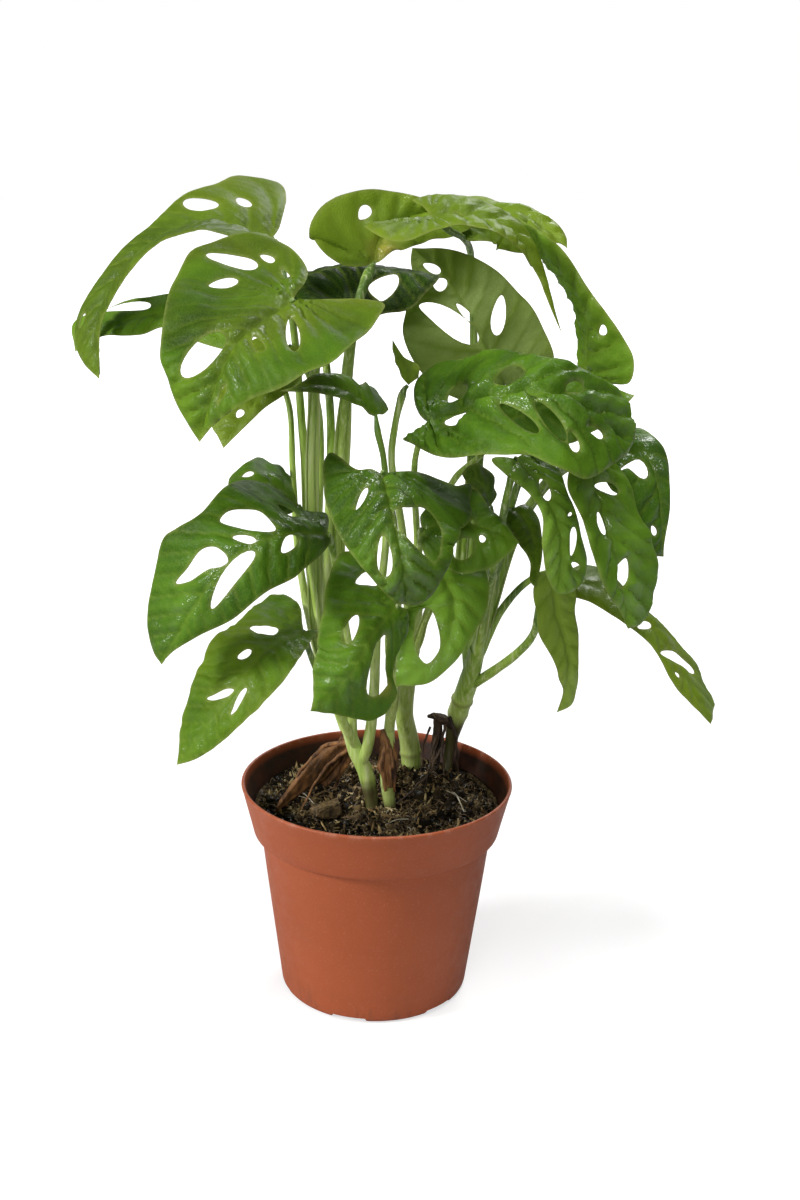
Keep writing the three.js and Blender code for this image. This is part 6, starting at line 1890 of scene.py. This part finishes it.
class VineStage(bpy.types.PropertyGroup):
    distance: metres(
        name="Distance", description="How far in front of the pot's axis the camera stands",
        default=0.66006, min=0.2, max=5,
    )
    height: metres(
        name="Camera height", description="How far above the floor the camera is",
        default=0.38413, min=0.0, max=5,
    )
    lens: bpy.props.FloatProperty(
        name="Lens", description="Focal length for a picture 36 mm high", default=48.24,
        min=10, max=200,
    )
    turn: angle(
        name="Turn", description="How far right of straight ahead the camera looks", default=0.013,
    )
    tilt: angle(name="Tilt", description="How far below level the camera looks", default=0.298)
    roll: angle(name="Roll", description="How far the camera leans", default=0.021)
    surround: bpy.props.FloatProperty(
        name="Surround", description="Brightness of the pale surroundings", default=0.2, min=0, max=5,
    )


SETTINGS = {
    "vine_foliage": VineFoliage,
    "vine_growth": VineGrowth,
    "vine_pot": VinePot,
    "vine_soil": VineSoil,
    "vine_stage": VineStage,
}

# ---------------------------------------------------------------- operators


class VINE_OT_pot(bpy.types.Operator):
    """Build the nursery pot"""

    bl_idname = "vine.pot"
    bl_label = "Pot"

    def execute(self, context):
        settings = context.scene.vine_pot
        scale = settings.height / MM / POT_HEIGHT
        profile = [(radius, z * scale) for radius, z in pot_profile()]
        vertices, faces = lathe(profile, settings.segments)
        piece = new_piece("nursery_pot", vertices, faces, [pot_material(settings)])
        turns = [
            2 * math.pi * i / settings.notches - POT_NOTCH_TURN for i in range(settings.notches)
        ]
        tools = [foot_notch(turn, settings.notch_width / MM) for turn in turns]
        tools += [drain_hole(2 * math.pi * i / DRAIN_HOLES) for i in range(DRAIN_HOLES)]
        cut_out(piece, tools)
        piece.data.set_sharp_from_angle(angle=POT_SHARP_EDGE)
        co = np.zeros(len(piece.data.vertices) * 3)
        piece.data.vertices.foreach_get("co", co)
        x, y, z = co.reshape(-1, 3).T / MM
        inner = np.hypot(x, y) < np.interp(z, WALL_HEIGHTS, WALL_RADII)
        add_values(piece, "inner", inner & (z > INNER_FROM) & (z < INNER_TO))
        settle(piece, "pot", slot="pot_plastic")
        return {"FINISHED"}


class VINE_OT_soil(bpy.types.Operator):
    """Build the soil with its crumbs, clods, bark bits and grains"""

    bl_idname = "vine.soil"
    bl_label = "Soil"

    def execute(self, context):
        settings = context.scene.vine_soil
        soil = new_piece("soil_fill", *soil_body(settings.lumps), [soil_material()])
        settle(soil, "soil", slot="soil")
        tree = scatter_tree()
        area = math.pi * (SOIL_RADIUS * MM) ** 2
        for seed, (name, kind) in enumerate(SOIL_BITS.items(), settings.seed):
            small, large = kind["sizes"]
            radius = BED_RADIUS - BED_MARGIN * large
            bed = soil_top(settings.lumps, BED_RINGS, BED_SEGMENTS, radius)
            piece = tree.run(
                new_piece(name + "_bed", *bed, []), name, smallest=small, largest=large,
                bits=bits(name + "_shapes", kind["stretch"], kind["rough"], seed), seed=seed,
                density=getattr(settings, kind["number"]) / area, tumble=kind["tumble"],
                material=crumb_material(name, kind["browns"]),
            )
            settle(piece, slot="soil")
        return {"FINISHED"}


class VINE_OT_bark(bpy.types.Operator):
    """Build the large chip of bark on the soil"""

    bl_idname = "vine.bark"
    bl_label = "Bark chip"

    def execute(self, context):
        material = dry_material("bark", (0.022, 0.014, 0.006), (0.25, 0.160, 0.060), 1.6)
        settle(new_piece("bark_chip_rough", *bark_chip(), [material]), "bark_chip", slot="bark")
        return {"FINISHED"}


class VINE_OT_rootlets(bpy.types.Operator):
    """Build the fine roots and fibres that lie on the soil"""

    bl_idname = "vine.rootlets"
    bl_label = "Rootlets"

    def execute(self, context):
        seed = context.scene.vine_soil.seed
        tree = tube_tree()
        pale = []
        for course, radius in PALE_ROOTLETS:
            points, radii, share = tapered(course, (radius, radius * 0.5), 0.8)
            pale.append((points, radii, {"along": share}))
        pale += strewn_paths(16, length=6, radius=0.17, seed=seed + 20)
        brown = strewn_paths(230, length=11, radius=0.22, seed=seed + 21)
        light = dry_material("rootlets_pale", (0.42, 0.36, 0.24), (0.72, 0.67, 0.54), 0.1)
        dark = dry_material("rootlets_brown", (0.060, 0.036, 0.017), (0.30, 0.205, 0.10), 0.2)
        for name, paths, material in (("rootlets_pale", pale, light), ("rootlets_brown", brown, dark)):
            source = path_mesh(name + "_paths", paths)
            piece = tree.run(source, name, sides=6, uneven=0.1 * MM, grain=900.0, material=material)
            settle(piece, slot="soil")
        return {"FINISHED"}


class VINE_OT_roots(bpy.types.Operator):
    """Build the dry sheath, the dry root and the aerial roots"""

    bl_idname = "vine.roots"
    bl_label = "Roots"

    def execute(self, context):
        uneven = context.scene.vine_growth.root_uneven
        tree = tube_tree()
        barks = {
            "dry_sheath": dry_material("dry_sheath", (0.045, 0.017, 0.005), (0.34, 0.152, 0.044), 0.9),
            "aerial_root": dry_material("aerial_root", (0.022, 0.012, 0.006), (0.10, 0.058, 0.028), 0.5),
        }
        for name, parts in DRY_PARTS.items():
            slot = "aerial_root" if name == "aerial_roots" else "dry_sheath"
            shapes = [husk(**row, seed=HUSK_SEED + i) for i, row in enumerate(parts["husks"])]
            vertices, faces = joined_shapes(shapes)
            piece = closed_outward(new_piece(name + "_husk", vertices, faces, [barks[slot]]))
            settle(piece, name, slot=slot)
            source = path_mesh(name + "_paths", [strand_path(**row) for row in parts["strands"]])
            piece = tree.run(
                source, name + "_strands", sides=10, uneven=uneven, grain=420.0, material=barks[slot],
            )
            settle(piece, name, slot=slot)
        return {"FINISHED"}


class VINE_OT_shoots(bpy.types.Operator):
    """Build the shoots: stems, leaf stalks and the sheaths along them"""

    bl_idname = "vine.shoots"
    bl_label = "Shoots"

    def execute(self, context):
        settings = context.scene.vine_growth
        tree = tube_tree()
        green, wings = stalk_material(), sheath_material()
        for name, shoot in SHOOTS.items():
            source = path_mesh(name + "_paths", shoot_paths(shoot))
            piece = tree.run(
                source, name + "_stalks", sides=settings.sides, uneven=settings.uneven, grain=160.0,
                material=green,
            )
            settle(piece, name, slot="stalk")
            vertices, faces, edge = sheath_wings(shoot)
            sheath = closed_outward(new_piece(name + "_sheaths", vertices, faces, [wings]))
            add_values(sheath, "edge", edge)
            settle(sheath, slot="stalk")
        return {"FINISHED"}


class VINE_OT_leaves(bpy.types.Operator):
    """Build every leaf from its flat pattern"""

    bl_idname = "vine.leaves"
    bl_label = "Leaves"

    def execute(self, context):
        settings = context.scene.vine_foliage
        faces = {
            tone: [leaf_material(tone, face, settings) for face in ("upper", "under")]
            for tone in LEAF_TONES
        }
        for name, leaf in LEAVES.items():
            leaf_piece(name, settings, faces[leaf["tone"]])
        return {"FINISHED"}


FLOOR_REACH = 6000
# The floor lies this far under the pot's foot, so that the two don't flicker, in millimetres.
FLOOR_DROP = 0.05
# Lamps: place and size in metres, and power in watts.
LAMPS = (
    ("key_light", (-3.0, -1.1, 1.9), 0.9, 108),
    ("top_light", (0.3, -1.0, 3.3), 1.0, 54),
    ("front_light", (-0.8, -3.0, 1.2), 0.9, 27),
    ("back_light", (0.8, 2.4, 2.2), 1.4, 48),
)
LAMPS_AIM = Vector((0, 0, 0.2))


def white_world(brightness):
    """Surroundings that light with that brightness, and are white in the camera's view."""
    world = bpy.data.worlds.new("studio")
    world.use_nodes = True
    world.node_tree.nodes.clear()
    nodes = Nodes(world.node_tree)
    white = {"Color": (1, 1, 1, 1)}
    lit = nodes.out("ShaderNodeBackground", {**white, "Strength": brightness})
    seen = nodes.out("ShaderNodeBackground", white)
    ray = nodes.out("ShaderNodeLightPath", output="Is Camera Ray")
    either = nodes.out("ShaderNodeMixShader", {0: ray, 1: lit, 2: seen})
    nodes.add("ShaderNodeOutputWorld", {"Surface": either})
    return world


def soft_lamp(name, place, size, power):
    """A round soft lamp that shines on the plant."""
    light = bpy.data.lights.new(name, "AREA")
    light.shape, light.size, light.energy = "DISK", size, power
    lamp = link(name, light)
    lamp.location = place
    lamp.rotation_mode = "QUATERNION"
    lamp.rotation_quaternion = (LAMPS_AIM - Vector(place)).to_track_quat("-Z", "Y")


def photo_camera(settings):
    """The camera at the photograph's place, turn, tilt and roll."""
    turn, tilt, roll = settings.turn, settings.tilt, settings.roll
    level = math.cos(tilt)
    ahead = Vector((math.sin(turn) * level, math.cos(turn) * level, -math.sin(tilt)))
    right = ahead.cross(Vector((0, 0, 1))).normalized()
    up = right.cross(ahead)
    cos, sin = math.cos(roll), math.sin(roll)
    right, up = right * cos + up * sin, up * cos - right * sin
    camera = link("camera", bpy.data.cameras.new("camera"))
    camera.data.sensor_width, camera.data.lens = 36, settings.lens
    camera.data.clip_start = 0.05
    facing = Matrix((right, up, -ahead)).transposed().to_4x4()
    camera.matrix_world = Matrix.Translation((0, -settings.distance, settings.height)) @ facing
    return camera


class VINE_OT_stage(bpy.types.Operator):
    """Set the floor, the light and the camera"""

    bl_idname = "vine.stage"
    bl_label = "Stage"

    def execute(self, context):
        settings, scene = context.scene.vine_stage, context.scene
        vertices, faces = lathe([(FLOOR_REACH, -FLOOR_DROP), (0, -FLOOR_DROP)], 64)
        new_piece("studio_floor", vertices, faces, [floor_material()])
        scene.world = white_world(settings.surround)
        for lamp in LAMPS:
            soft_lamp(*lamp)
        scene.camera = photo_camera(settings)
        scene.view_settings.view_transform = "Standard"
        return {"FINISHED"}


OPERATORS = (
    VINE_OT_pot,
    VINE_OT_soil,
    VINE_OT_bark,
    VINE_OT_rootlets,
    VINE_OT_roots,
    VINE_OT_shoots,
    VINE_OT_leaves,
    VINE_OT_stage,
)


class VINE_PT_panel(bpy.types.Panel):
    """Lists the pieces that can be built"""

    bl_idname = "VINE_PT_panel"
    bl_label = "Potted Swiss Cheese Vine"
    bl_space_type = "VIEW_3D"
    bl_region_type = "UI"
    bl_category = "Vine"

    def draw(self, context):
        for key, group in SETTINGS.items():
            box = self.layout.box()
            for name in group.__annotations__:
                box.prop(getattr(context.scene, key), name)
        for operator in OPERATORS:
            self.layout.operator(operator.bl_idname)


CLASSES = (*SETTINGS.values(), *OPERATORS, VINE_PT_panel)


def register():
    for item in CLASSES:
        bpy.utils.register_class(item)
    for key, group in SETTINGS.items():
        setattr(bpy.types.Scene, key, bpy.props.PointerProperty(type=group))


def unregister():
    for key in SETTINGS:
        delattr(bpy.types.Scene, key)
    for item in reversed(CLASSES):
        bpy.utils.unregister_class(item)


def main():
    """Builds the plant piece by piece."""
    register()
    for operator in OPERATORS:
        group, name = operator.bl_idname.split(".")
        getattr(getattr(bpy.ops, group), name)()


if __name__ == "__main__":
    main()
